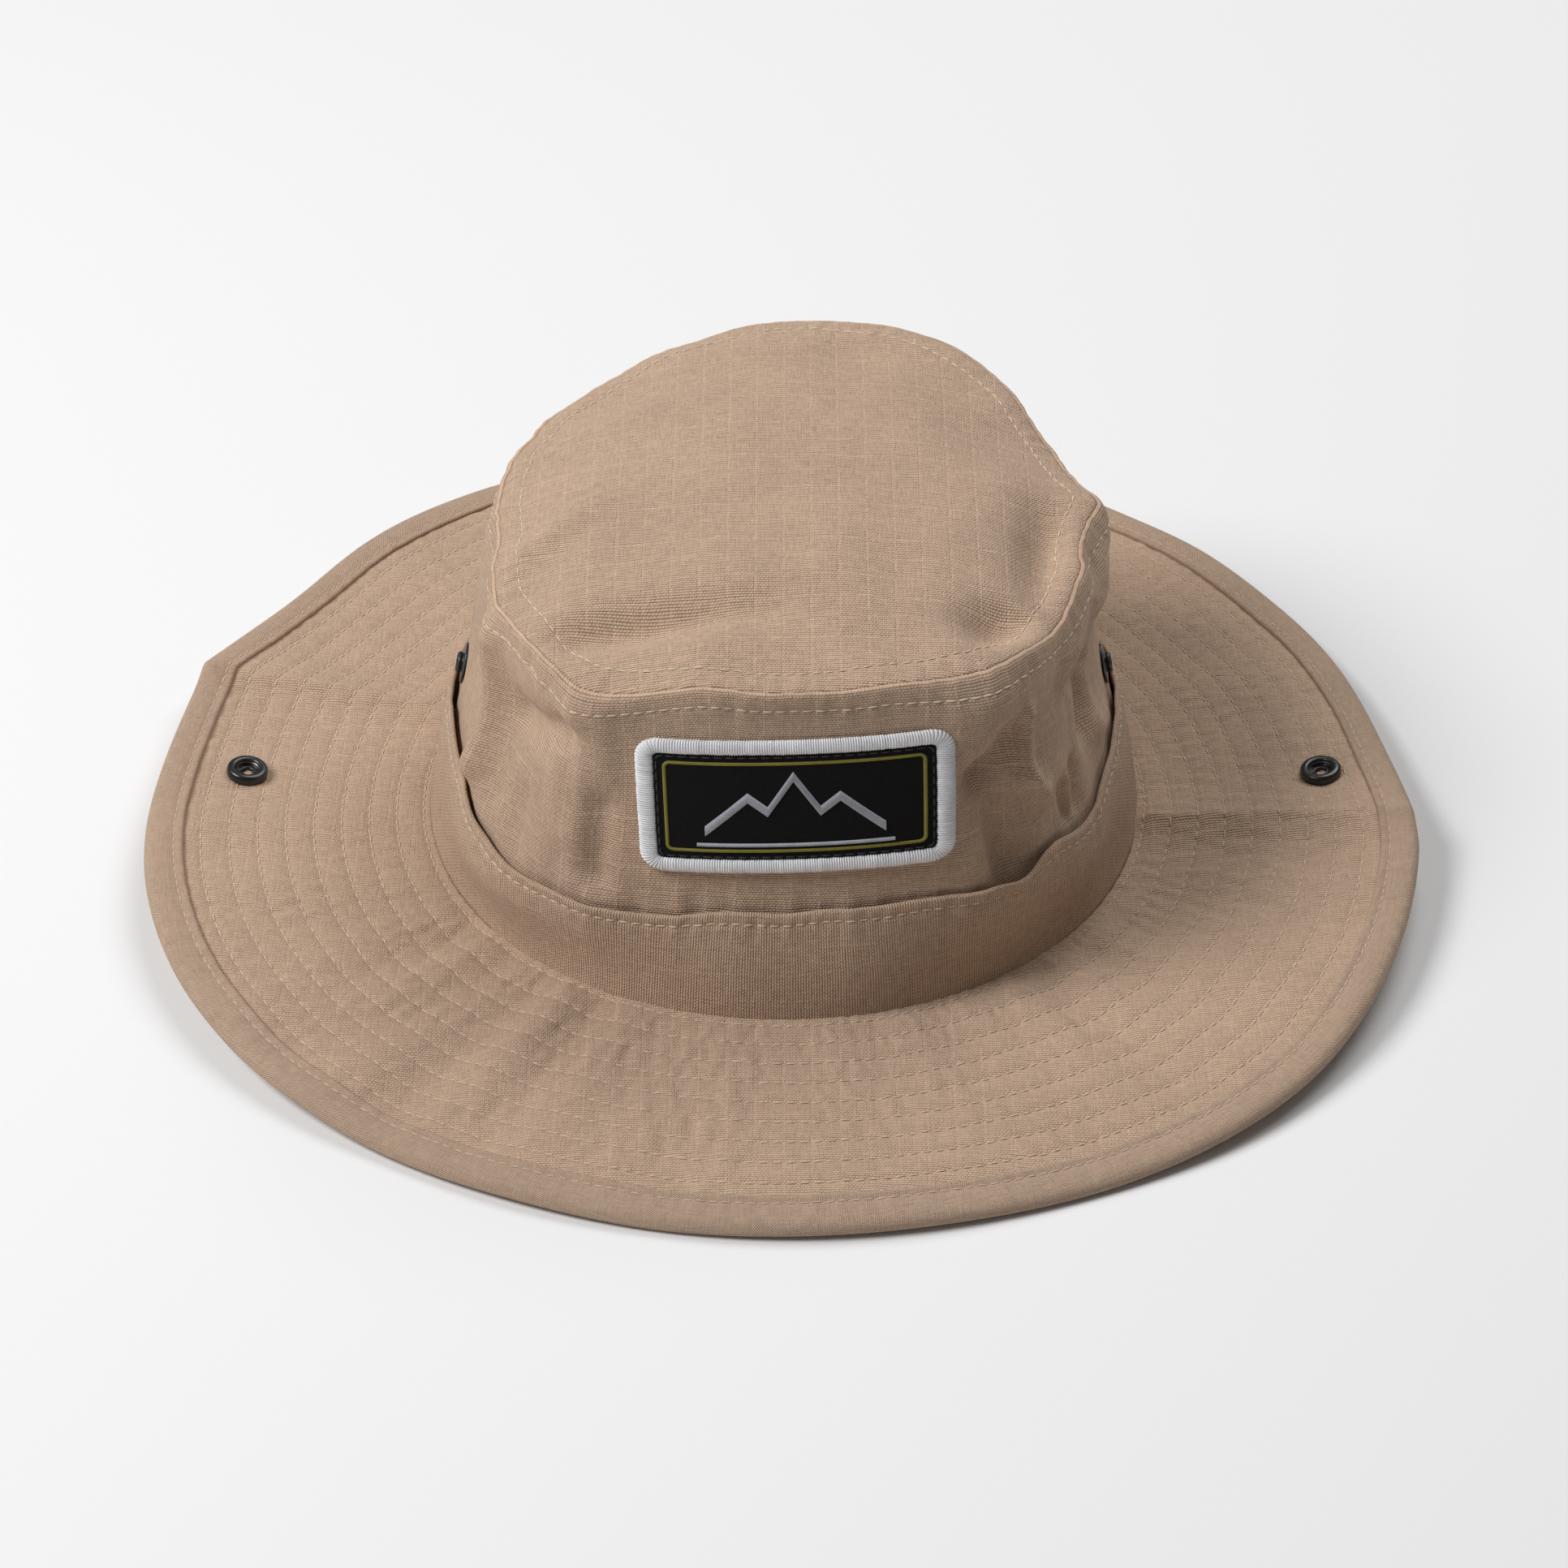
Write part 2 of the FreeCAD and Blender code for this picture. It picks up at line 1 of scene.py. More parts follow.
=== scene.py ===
import bpy
import json
import math
import numpy as np
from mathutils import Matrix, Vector


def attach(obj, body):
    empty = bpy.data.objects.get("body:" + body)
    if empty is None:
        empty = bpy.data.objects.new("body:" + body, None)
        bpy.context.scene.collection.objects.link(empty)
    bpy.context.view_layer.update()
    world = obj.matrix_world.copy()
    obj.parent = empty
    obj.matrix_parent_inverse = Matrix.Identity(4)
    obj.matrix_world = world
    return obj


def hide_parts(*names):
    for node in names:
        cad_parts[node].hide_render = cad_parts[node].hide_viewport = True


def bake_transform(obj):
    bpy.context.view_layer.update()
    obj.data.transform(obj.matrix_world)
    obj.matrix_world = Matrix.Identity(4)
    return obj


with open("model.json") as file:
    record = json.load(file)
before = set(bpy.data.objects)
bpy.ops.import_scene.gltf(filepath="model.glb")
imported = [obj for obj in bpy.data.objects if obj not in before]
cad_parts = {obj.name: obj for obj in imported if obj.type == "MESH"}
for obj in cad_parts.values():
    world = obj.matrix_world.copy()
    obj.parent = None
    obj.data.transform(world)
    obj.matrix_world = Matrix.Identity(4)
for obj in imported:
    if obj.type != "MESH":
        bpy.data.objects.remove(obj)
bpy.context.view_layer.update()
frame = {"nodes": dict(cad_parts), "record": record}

# Lengths are in millimetres until a mesh is made. Angle 0 is the hat's front, and grows towards +X.
MM = 0.001
TAU = 2 * math.pi


# ---------------------------------------------------------------- shaping helpers

def smooth(x, low, high):
    t = np.clip((x - low) / (high - low), 0, 1)
    return t * t * (3 - 2 * t)


def hump(x, middle, width):
    return np.exp(-(((x - middle) / width) ** 2))


def turn(angle, middle):
    """How far an angle is from a middle in degrees, the short way round."""
    return (np.degrees(angle) - middle + 180) % 360 - 180


def near(angle, middle, width):
    return np.exp(-((turn(angle, middle) / width) ** 2))


def soft_ramp(x, softness):
    """0 below zero and x above it, with a rounded bend."""
    return softness * np.logaddexp(0, x / softness)


def waves(angle, across, seed, lowest, highest, count, slant):
    """Uneven ripples around the hat: a sum of whole-number waves, whose crests slant with the distance across."""
    rng = np.random.default_rng(seed)
    total = 0
    for _ in range(count):
        number = int(rng.integers(lowest, highest))
        phase = rng.uniform(0, TAU)
        lean = rng.uniform(-slant, slant)
        total = total + np.cos(number * angle + lean * across + phase)
    return total / math.sqrt(count)


def rumple(x, y, seed, wavelength, count=10):
    """Unevenness of a flat cloth: a sum of waves in random directions."""
    rng = np.random.default_rng(seed)
    total = 0
    for _ in range(count):
        way = rng.uniform(0, TAU)
        pitch = TAU / (wavelength * rng.uniform(0.7, 1.5))
        total = total + np.sin(pitch * (x * math.cos(way) + y * math.sin(way)) + rng.uniform(0, TAU))
    return total / math.sqrt(count)


def unit(v):
    return v / np.maximum(np.linalg.norm(v, axis=-1, keepdims=True), 1e-9)


def normals_of(surface, a, b, step_a=1e-3, step_b=1e-3):
    """Unit normals of surface(a, b), from small steps either way."""
    along_a = surface(a + step_a, b) - surface(a - step_a, b)
    along_b = surface(a, b + step_b) - surface(a, b - step_b)
    return unit(np.cross(along_a, along_b))


def facing_up(normals):
    return normals * np.sign(normals[:, 2:3])


def facing_out(normals, path):
    """The normals of a path, turned away from the hat's upright axis."""
    return normals * np.sign(np.sum(normals[:, :2] * path[:, :2], axis=1))[:, None]


# ---------------------------------------------------------------- mesh helpers

def add_piece(name, points, faces, corners_uv, material):
    mesh = bpy.data.meshes.new(name)
    mesh.from_pydata((points.reshape(-1, 3) * MM).tolist(), [], faces)
    mesh.polygons.foreach_set("use_smooth", np.ones(len(mesh.polygons), bool))
    if corners_uv is not None:
        layer = mesh.uv_layers.new(name="weave")
        layer.data.foreach_set("uv", corners_uv.astype(np.float32).ravel())
    mesh.materials.append(material)
    mesh.validate()
    piece = bpy.data.objects.new(name, mesh)
    bpy.context.scene.collection.objects.link(piece)
    return piece


def grid_piece(name, points, uv, material, loop_rows=False, loop_columns=False, flip=False):
    """A piece from a grid of points. uv has one more row or column than points where the grid closes on itself."""
    rows, columns = points.shape[:2]
    i = np.arange(rows if loop_rows else rows - 1)[:, None]
    j = np.arange(columns if loop_columns else columns - 1)[None, :]
    ring = [(0, 0), (0, 1), (1, 1), (1, 0)]
    if flip:
        ring.reverse()
    index = np.arange(rows * columns).reshape(rows, columns)
    faces = np.stack([index[(i + a) % rows, (j + b) % columns] for a, b in ring], -1).reshape(-1, 4)
    corners = np.stack([uv[i + a, j + b] for a, b in ring], -2).reshape(-1, 2)
    return add_piece(name, points, faces.tolist(), corners, material)


def closed_uv(u, v):
    return np.stack(np.broadcast_arrays(u, v), -1)


def stitch_row(path, up, pitch, length, radius, proud, sides=6):
    """Points and faces of one row of stitches along a path: each is a short thread that dips in at both ends."""
    steps = np.linalg.norm(np.diff(path, axis=0), axis=1)
    along = np.concatenate([[0], np.cumsum(steps)])
    count = max(1, int(along[-1] / pitch))
    middles = (np.arange(count) + 0.5) * along[-1] / count
    places = np.array([-1, -0.72, -0.25, 0.25, 0.72, 1])
    where = middles[:, None] + places * length / 2

    def sample(values, at):
        return np.stack([np.interp(at, along, values[:, k]) for k in range(3)], -1)

    middle = sample(path, where)
    ahead = unit(sample(path, where + 0.4) - sample(path, where - 0.4) + 1e-9)
    rise = unit(sample(up, where))
    side = np.cross(ahead, rise)
    lift = (proud * (1 - 1.9 * places ** 4))[None, :, None]
    thick = (radius * np.sqrt(1.04 - places ** 2))[None, :, None, None]
    around = np.arange(sides) * TAU / sides
    ring = np.cos(around)[:, None] * side[:, :, None] + 0.8 * np.sin(around)[:, None] * rise[:, :, None]
    points = (middle + lift * rise)[:, :, None] + thick * ring
    index = np.arange(points[..., 0].size).reshape(points.shape[:3])
    after = np.roll(index, -1, axis=2)
    quads = np.stack([index[:, :-1], after[:, :-1], after[:, 1:], index[:, 1:]], -1).reshape(-1, 4)
    ends = np.concatenate([index[:, 0, ::-1], index[:, -1]])
    return points.reshape(-1, 3), quads, ends


def stitched(name, rows, material):
    """One piece from several rows of stitches."""
    points, faces, offset = [], [], 0
    for row_points, quads, ends in rows:
        points.append(row_points)
        faces += (quads + offset).tolist()
        faces += (ends + offset).tolist()
        offset += len(row_points)
    return add_piece(name, np.concatenate(points), faces, None, material)


# ---------------------------------------------------------------- materials

class Shader:
    """A Principled material with a small language for its nodes."""

    def __init__(self, name, roughness, **constant):
        self.material = bpy.data.materials.new(name)
        self.material.use_nodes = True
        self.tree = self.material.node_tree
        self.surface = self.tree.nodes["Principled BSDF"]
        self.surface.inputs["Roughness"].default_value = roughness
        for socket, value in constant.items():
            self.surface.inputs[socket.replace("_", " ")].default_value = value

    def node(self, kind, settings=None, **inputs):
        made = self.tree.nodes.new(kind)
        for key, value in (settings or {}).items():
            setattr(made, key, value)
        for socket, value in inputs.items():
            self.put(value, made.inputs[socket.replace("_", " ")])
        return made

    def put(self, value, socket):
        if isinstance(value, bpy.types.NodeSocket):
            self.tree.links.new(value, socket)
        else:
            socket.default_value = value

    def math(self, operation, a, b=0.0, c=0.0):
        made = self.tree.nodes.new("ShaderNodeMath")
        made.operation = operation
        for value, socket in zip((a, b, c), made.inputs):
            self.put(value, socket)
        return made.outputs[0]

    def spread(self, value, low, high, to_low=0.0, to_high=1.0):
        made = self.node("ShaderNodeMapRange", {"interpolation_type": "SMOOTHSTEP"}, Value=value)
        for socket, number in zip(("From Min", "From Max", "To Min", "To Max"), (low, high, to_low, to_high)):
            made.inputs[socket].default_value = number
        return made.outputs["Result"]

    def noise(self, vector, scale, detail=2.0):
        made = self.node("ShaderNodeTexNoise", Vector=vector, Scale=scale, Detail=detail)
        return made.outputs["Fac"]

    def stretch(self, vector, x, y, z=1.0):
        made = self.node("ShaderNodeMapping", Vector=vector)
        made.inputs["Scale"].default_value = (x, y, z)
        return made.outputs["Vector"]

    def blend(self, share, first, second):
        made = self.tree.nodes.new("ShaderNodeMix")
        made.data_type = "RGBA"
        self.put(share, made.inputs["Factor"])
        self.put(first, made.inputs[6])
        self.put(second, made.inputs[7])
        return made.outputs[2]

    def finish(self, colour, height, depth):
        """depth is the bump's whole height in millimetres."""
        self.put(colour, self.surface.inputs["Base Color"])
        if height is not None:
            bump = self.node("ShaderNodeBump", Height=height)
            bump.inputs["Distance"].default_value = depth * MM
            bump.inputs["Strength"].default_value = 1.0
            self.put(bump.outputs["Normal"], self.surface.inputs["Normal"])
        return self.material


def rgb(r, g, b):
    return (r, g, b, 1.0)


def scaled(colour, factor):
    return rgb(*(min(1.0, c * factor) for c in colour))


def cloth(name, colour, warp_pitch=0.46, weft_pitch=0.66, check=7.0, check_strength=1.0, contrast=1.0, depth=0.19,
          diagonal=False):
    """Woven cotton. The weave layer's units are centimetres. check is the spacing of the thicker ripstop yarns."""
    s = Shader(name, 0.88, Sheen_Weight=0.07, Sheen_Roughness=0.5, Specular_IOR_Level=0.25)
    weave = s.node("ShaderNodeUVMap", {"uv_map": "weave"}).outputs["UV"]
    wander = s.node("ShaderNodeTexNoise", Vector=weave, Scale=0.9, Detail=3.0).outputs["Color"]
    shift = s.node("ShaderNodeVectorMath", {"operation": "SCALE"}, Vector=wander)
    shift.inputs["Scale"].default_value = 0.05
    moved = s.node("ShaderNodeVectorMath", {"operation": "ADD"})
    s.put(weave, moved.inputs[0])
    s.put(shift.outputs[0], moved.inputs[1])
    split = s.node("ShaderNodeSeparateXYZ", Vector=moved.outputs[0])
    u, v = split.outputs["X"], split.outputs["Y"]
    if diagonal:
        u, v = s.math("ADD", u, v), s.math("SUBTRACT", u, v)
    over = s.math("SINE", s.math("MULTIPLY", u, math.pi / (warp_pitch / 10)))
    under = s.math("SINE", s.math("MULTIPLY", v, math.pi / (weft_pitch / 10)))
    warp, weft = s.math("ABSOLUTE", over), s.math("ABSOLUTE", under)
    crossing = s.math("MULTIPLY", over, under)
    side = s.spread(crossing, -0.35, 0.35)
    thick, fine = (weft, warp) if weft_pitch >= warp_pitch else (warp, weft)
    ribs = s.math("MULTIPLY_ADD", fine, s.math("MULTIPLY", side, 0.40), s.math("MULTIPLY", thick, 0.75))
    slub_weft = s.noise(s.stretch(weave, 2.2, 17.0), 1.0, 3.0)
    slub_warp = s.noise(s.stretch(weave, 19.0, 2.6), 1.0, 3.0)
    slubs = s.math("ADD", slub_weft, slub_warp)
    yarns = s.math("MULTIPLY_ADD", s.math("SUBTRACT", slubs, 1.0), 0.9, ribs)
    height = yarns
    tone = s.spread(yarns, -0.1, 1.1)
    if check:
        lines = []
        for axis in (u, v):
            place = s.math("PINGPONG", axis, check / 20)
            lines.append(s.spread(place, 0.018, 0.052, 1.0, 0.0))
        grid = s.math("MAXIMUM", *lines)
        broken = s.spread(s.noise(s.stretch(weave, 6.0, 6.0), 1.0, 2.0), 0.36, 0.62, 0.15, 1.0)
        grid = s.math("MULTIPLY", grid, broken)
        grid = s.math("MULTIPLY", grid, check_strength)
        height = s.math("MULTIPLY_ADD", grid, 0.55, height)
        tone = s.math("MULTIPLY_ADD", grid, 0.22, tone)
    cloudy = s.spread(s.noise(weave, 0.35, 3.0), 0.3, 0.7)
    dark = s.blend(cloudy, scaled(colour, 1 - 0.46 * contrast), scaled(colour, 1 - 0.38 * contrast))
    light = s.blend(cloudy, scaled(colour, 1 + 0.20 * contrast), scaled(colour, 1 + 0.27 * contrast))
    return s.finish(s.blend(tone, dark, light), height, depth)


def thread(name, colour, depth=0.05):
    """Twisted sewing thread: a fine uneven nap."""
    s = Shader(name, 0.62, Sheen_Weight=0.15, Specular_IOR_Level=0.35)
    place = s.node("ShaderNodeTexCoord").outputs["Object"]
    nap = s.noise(place, 5200.0, 2.0)
    drift = s.noise(place, 260.0, 2.0)
    tone = s.math("MULTIPLY_ADD", nap, 0.6, s.math("MULTIPLY", drift, 0.5))
    return s.finish(s.blend(s.spread(tone, 0.3, 0.8), scaled(colour, 0.78), scaled(colour, 1.1)), nap, depth)


def black_enamel(name):
    """Black lacquered brass, rubbed a little on its rims."""
    s = Shader(name, 0.32, Specular_IOR_Level=0.5, Coat_Weight=0.25, Coat_Roughness=0.2)
    place = s.node("ShaderNodeTexCoord").outputs["Object"]
    specks = s.noise(place, 1400.0, 3.0)
    smears = s.noise(place, 210.0, 2.0)
    worn = s.math("MULTIPLY", s.spread(smears, 0.45, 0.7), s.spread(specks, 0.4, 0.7))
    s.put(s.spread(smears, 0.3, 0.7, 0.26, 0.42), s.surface.inputs["Roughness"])
    return s.finish(s.blend(worn, rgb(0.010, 0.010, 0.011), rgb(0.045, 0.045, 0.048)), specks, 0.012)


def drawn_wire(name):
    s = Shader(name, 0.35, Metallic=1.0)
    place = s.node("ShaderNodeTexCoord").outputs["Object"]
    grain = s.noise(s.stretch(place, 900.0, 900.0, 5200.0), 1.0, 2.0)
    return s.finish(s.blend(grain, rgb(0.30, 0.30, 0.31), rgb(0.50, 0.50, 0.52)), grain, 0.01)


def twill(name, dark, light, pitch=0.42, depth=0.06):
    """Close woven twill, with its diagonal lines, for the patch and the sweatband."""
    s = Shader(name, 0.85, Specular_IOR_Level=0.15)
    weave = s.node("ShaderNodeUVMap", {"uv_map": "weave"}).outputs["UV"]
    split = s.node("ShaderNodeSeparateXYZ", Vector=weave)
    u, v = split.outputs["X"], split.outputs["Y"]
    rate = math.pi / (pitch / 10)
    slanted = s.math("ADD", s.math("MULTIPLY", u, rate), s.math("MULTIPLY", v, rate * 0.7))
    lines = s.math("ABSOLUTE", s.math("SINE", slanted))
    cross = s.math("ABSOLUTE", s.math("SINE", s.math("MULTIPLY", v, rate * 1.6)))
    height = s.math("MULTIPLY_ADD", cross, 0.4, lines)
    fuzz = s.noise(s.stretch(weave, 14.0, 14.0), 1.0, 3.0)
    tone = s.math("MULTIPLY", s.spread(height, 0.2, 1.2), s.spread(fuzz, 0.25, 0.7, 0.5, 1.0))
    return s.finish(s.blend(tone, dark, light), height, depth)


def paper_floor(name):
    s = Shader(name, 0.55, Specular_IOR_Level=0.2)
    place = s.node("ShaderNodeTexCoord").outputs["Object"]
    grain = s.noise(place, 900.0, 2.0)
    return s.finish(s.blend(grain, rgb(0.86, 0.86, 0.865), rgb(0.88, 0.88, 0.885)), grain, 0.01)


TAN = (0.53, 0.374, 0.266)
crown_cloth = cloth("crown_ripstop", TAN)
brim_cloth = cloth("brim_ripstop", TAN, contrast=0.85, check_strength=0.75)
band_cloth = cloth("band_ripstop", TAN, warp_pitch=0.66, weft_pitch=0.46, check_strength=0.5)
# The brim's underside cloth is the top cloth's colour made about 4% darker: painted shade for the side that faces
# down.
under_cloth = cloth("under_brim_ripstop_painted_shade", (0.51, 0.36, 0.256), contrast=0.85, check_strength=0.75)
binding_cloth = cloth("bias_binding", (0.52, 0.37, 0.266), check=0, contrast=0.8, diagonal=True)
tape_cloth = cloth("seam_tape", (0.50, 0.36, 0.265), warp_pitch=0.5, weft_pitch=0.5, check=0)
sweat_cloth = twill("sweatband_twill", rgb(0.27, 0.19, 0.135), rgb(0.46, 0.335, 0.245), pitch=0.6)
cream_thread = thread("cream_thread", (0.72, 0.585, 0.445))
quilt_thread = thread("quilt_thread", (0.65, 0.515, 0.39))
tan_thread = thread("tan_thread", (0.60, 0.46, 0.35))
binding_thread = thread("binding_thread", (0.66, 0.51, 0.39))
white_thread = thread("white_border_thread", (0.86, 0.865, 0.89))
olive_thread = thread("olive_thread", (0.23, 0.21, 0.022))
grey_thread = thread("grey_thread", (0.52, 0.54, 0.60))
dark_thread = thread("dark_thread", (0.030, 0.027, 0.028))
patch_cloth = twill("patch_twill", rgb(0.0025, 0.0025, 0.0025), rgb(0.013, 0.012, 0.0125))
snap_enamel = black_enamel("snap_enamel")
spring_steel = drawn_wire("spring_steel")


# ---------------------------------------------------------------- the frame's own measures

JOINTS = {joint["name"]: joint for joint in frame["record"]["behaviour"]["joints"]}
FOLD_X = JOINTS["right_brim_fold"]["pos_m"][0] / MM
FOLD_Z = JOINTS["right_brim_fold"]["pos_m"][2] / MM
UPTURN = math.radians(-JOINTS["right_brim_fold"]["range_deg"][0])
LEAN = math.radians(JOINTS["right_brim_fold"]["range_deg"][1] - 90) + UPTURN
SNAP_REACH = 46.0
BASE_Z = 3.1
BASE_HALF_WIDTH = 93
BASE_HALF_LENGTH = 96
WALL_SPAN = 91
BAND_FOOT = 3.5
BAND_SPAN = 30
SOFT_CLOTH = 1.05
BRIM_THICKNESS = 2.45
WAIST_Z = 62.0


# ---------------------------------------------------------------- brim

HOLE_X, HOLE_Y = 92.2, 95.2
RIM_X, RIM_Y = 170.0, 171.0
BRIM_WIDTH = 77.0
BRIM_TOP = 3.35
CLOTH_EDGE = 1 - 0.9 / BRIM_WIDTH
QUILT_FIRST, QUILT_STEP, QUILT_ROWS = 4.2, 7.3, 9
QUILT = [(QUILT_FIRST + QUILT_STEP * k) / BRIM_WIDTH for k in range(QUILT_ROWS)]


def rim_stretch(angle):
    """How far the soft rim strays from a true oval."""
    out = 1 + 0.006 * near(angle, 5, 40)
    out = out + 0.028 * near(angle, -55, 22) + 0.034 * near(angle, 46, 20)
    out = out - 0.030 * near(angle, -95, 14) - 0.043 * near(angle, 95, 16)
    out = out - 0.046 * near(angle, -120, 14) - 0.050 * near(angle, 120, 20)
    out = out + 0.014 * near(angle, -150, 12) - 0.006 * near(angle, 142, 10)
    soften = 1.5
    corner = 0.006 * np.exp(-(np.sqrt(turn(angle, -106) ** 2 + soften) - 1) / 5)
    return out + corner + 0.008 * np.exp(-(np.sqrt(turn(angle, 79) ** 2 + soften) - 1) / 5)


def brim_plan(angle, t):
    stretch = rim_stretch(angle)
    inner = np.stack([HOLE_X * np.sin(angle), -HOLE_Y * np.cos(angle)], -1)
    outer = np.stack([RIM_X * stretch * np.sin(angle), -RIM_Y * stretch * np.cos(angle)], -1)
    return inner + np.asarray(t)[..., None] * (outer - inner)


def crease(x, y, t, side):
    """The line pressed across each brim side where it was folded."""
    if side > 0:
        ridge, front_run, back_run, height = -14.4 - (np.abs(x) - 93) * 0.11, 7.0, 24.0, 4.6 - 1.8 * t
    else:
        ridge, front_run, back_run, height = 37 + (np.abs(x) - 95) * 0.11, 5.5, 14.0, 2.3 + 1.5 * t
    off = y - ridge
    run = np.where(off < 0, front_run, back_run)
    fall = np.exp(-(np.sqrt(off ** 2 + 0.3) - 0.55) / run) - 0.2
    here = smooth(np.abs(x), 88, 98) * (np.sign(x) == side) * np.exp(-((off / 52) ** 2))
    return height * fall * here


def brim_level(angle, t):
    """Height of the brim's top cloth without its quilting."""
    plan = brim_plan(angle, t)
    x, y = plan[..., 0], plan[..., 1]
    share = 0.74 + 0.26 * np.abs(np.sin(angle)) ** 4
    z = BRIM_TOP + share * math.tan(UPTURN) * soft_ramp(np.abs(x) - FOLD_X, 6)
    z = z + 1.9 * (1 - smooth(t, 0.78, 1.0)) * (1 - smooth(np.abs(x), 45, 92))
    z = z + crease(x, y, t, 1) + crease(x, y, t, -1)
    lively = smooth(t, 0.0, 0.12) * (1 - 0.9 * smooth(t, 0.80, 0.97)) * smooth(np.abs(turn(angle, 0)), 1, 6)
    lively = lively * smooth(np.abs(turn(angle, 180)), 1, 6)
    left_front = 0.55 * near(angle, -45, 24) + 0.35 * near(angle, 40, 20) + 0.18
    z = z + lively * left_front * waves(angle, t * BRIM_WIDTH, 3, 16, 44, 9, 0.05)
    z = z + 0.35 * rumple(x, y, 12, 70) * smooth(t, 0.0, 0.3)
    snap_x = FOLD_X + SNAP_REACH * math.cos(UPTURN)
    flat = FOLD_Z + math.tan(UPTURN) * (np.abs(x) - FOLD_X) + 1.16 / math.cos(UPTURN)
    by_snap = np.exp(-(((np.abs(x) - snap_x) ** 2 + y ** 2) / 9.5 ** 2) ** 2)
    return z + by_snap * (flat - z)


def quilting(angle, t):
    """Stitched grooves and the padded lines between them."""
    across = t * BRIM_WIDTH
    inside = smooth(across, 0.5, 2.5) * (1 - smooth(across, 66.5, 68.0))
    puff = 0.12 * np.sin(np.pi * (across - QUILT_FIRST) / QUILT_STEP) ** 2 * inside
    groove = 0
    for row in QUILT:
        groove = groove + hump(across, row * BRIM_WIDTH, 0.75)
    pucker = 0.13 * waves(angle, across, 21, 70, 150, 14, 0.5) + 0.07 * waves(angle, across, 22, 150, 230, 10, 0.9)
    calm = smooth(np.abs(turn(angle, 0)), 0.5, 3) * smooth(np.abs(turn(angle, 180)), 0.5, 3)
    under_binding = -0.12 * hump(across, BRIM_WIDTH - 10.7, 0.8)
    return puff - 0.26 * groove * inside + pucker * inside * calm + under_binding


def brim_top(angle, t):
    plan = brim_plan(angle, t)
    return np.concatenate([plan, (brim_level(angle, t) + quilting(angle, t))[..., None]], -1)


def brim_bottom(angle, t):
    plan = brim_plan(angle, t)
    return np.concatenate([plan, (brim_level(angle, t) - BRIM_THICKNESS - quilting(angle, t))[..., None]], -1)


def half_angles(side, count=380):
    return side * np.linspace(0, math.pi, count)


def brim_rows():
    fine = [row + offset / BRIM_WIDTH for row in QUILT for offset in (-1.5, -0.75, -0.3, 0, 0.3, 0.75, 1.5)]
    coarse = np.linspace(0, CLOTH_EDGE, 56)
    rows = np.unique(np.round(np.concatenate([coarse, fine]), 5))
    keep = [0]
    for k in range(1, len(rows)):
        if (rows[k] - rows[keep[-1]]) * BRIM_WIDTH > 0.22:
            keep.append(k)
    return rows[keep]


def bend(piece):
    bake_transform(piece)


def make_brim_cloth(side, word):
    angle = half_angles(side)[None, :]
    t = brim_rows()[:, None]
    back = np.linspace(CLOTH_EDGE, 0, 12)[:, None]
    for name, face, away, material, slot, replaced in (
        ("brim_top_cloth", brim_top, -SOFT_CLOTH, brim_cloth, "brim_cloth",
         (f"{word}_brim_top_ply", f"{word}_brim_interlining", "centre_brim_top_ply", "centre_brim_interlining")),
        ("brim_under_cloth", brim_bottom, SOFT_CLOTH, under_cloth, "under_cloth",
         (f"{word}_brim_bottom_ply", "centre_brim_bottom_ply")),
    ):
        outer = face(angle, t)
        plan = brim_plan(angle, back)
        base = brim_level(angle, back) + (0 if away < 0 else -BRIM_THICKNESS) + away
        inner = np.concatenate([plan, base[..., None]], -1)
        points = np.concatenate([outer, inner])
        uv = np.concatenate([points, points[:1]])[..., :2] / 10
        piece = grid_piece(f"{name}_{word}", points, uv, material, loop_rows=True,
                           flip=(side > 0) == (away > 0))
        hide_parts(*replaced)
        bend(piece)


def make_quilt_stitches(side, word):
    angle = half_angles(side, 900)
    for name, face, sign, proud in (("quilt_stitches_top", brim_top, 1, 0.12),
                                    ("quilt_stitches_under", brim_bottom, -1, 0.10)):
        rows = []
        for row in QUILT:
            t = np.full_like(angle, row)
            up = facing_up(normals_of(face, angle, t)) * sign
            rows.append(stitch_row(face(angle, t), up, 3.3, 2.75, 0.25, proud, 5))
        piece = stitched(f"{name}_{word}", rows, quilt_thread)
        bend(piece)


def binding_path(angle, inward, rise):
    """A point of the binding, inward from the rim's edge and up from the brim's top cloth."""
    t = 1 - inward / BRIM_WIDTH
    plan = brim_plan(angle, t)
    level = brim_level(angle, np.minimum(t, 0.985))
    return np.concatenate([plan, (level + rise)[..., None]], -1)


# Inward distance from the edge and height over the brim's top cloth, round the folded tape and back inside it.
TAPE = [
    (10.0, -0.15), (10.05, 0.45), (9.9, 0.88), (9.4, 1.08), (8.6, 1.0), (7.9, 0.74), (7.6, 0.66), (7.3, 0.74),
    (6.6, 0.96), (5.2, 1.02), (3.6, 0.98), (2.2, 0.80), (1.2, 0.42), (0.45, -0.25), (0.08, -0.95), (0.0, -1.5),
    (0.12, -2.1), (0.6, -2.75), (1.4, -3.1), (2.6, -3.25), (4.5, -3.28), (6.6, -3.22), (7.3, -3.05), (7.6, -2.98),
    (7.9, -3.05), (8.6, -3.22), (9.5, -3.24), (10.0, -3.0), (10.0, -2.55), (5.0, -2.55), (1.0, -2.1), (0.75, -1.25),
    (1.0, -0.3), (5.0, 0.05),
]


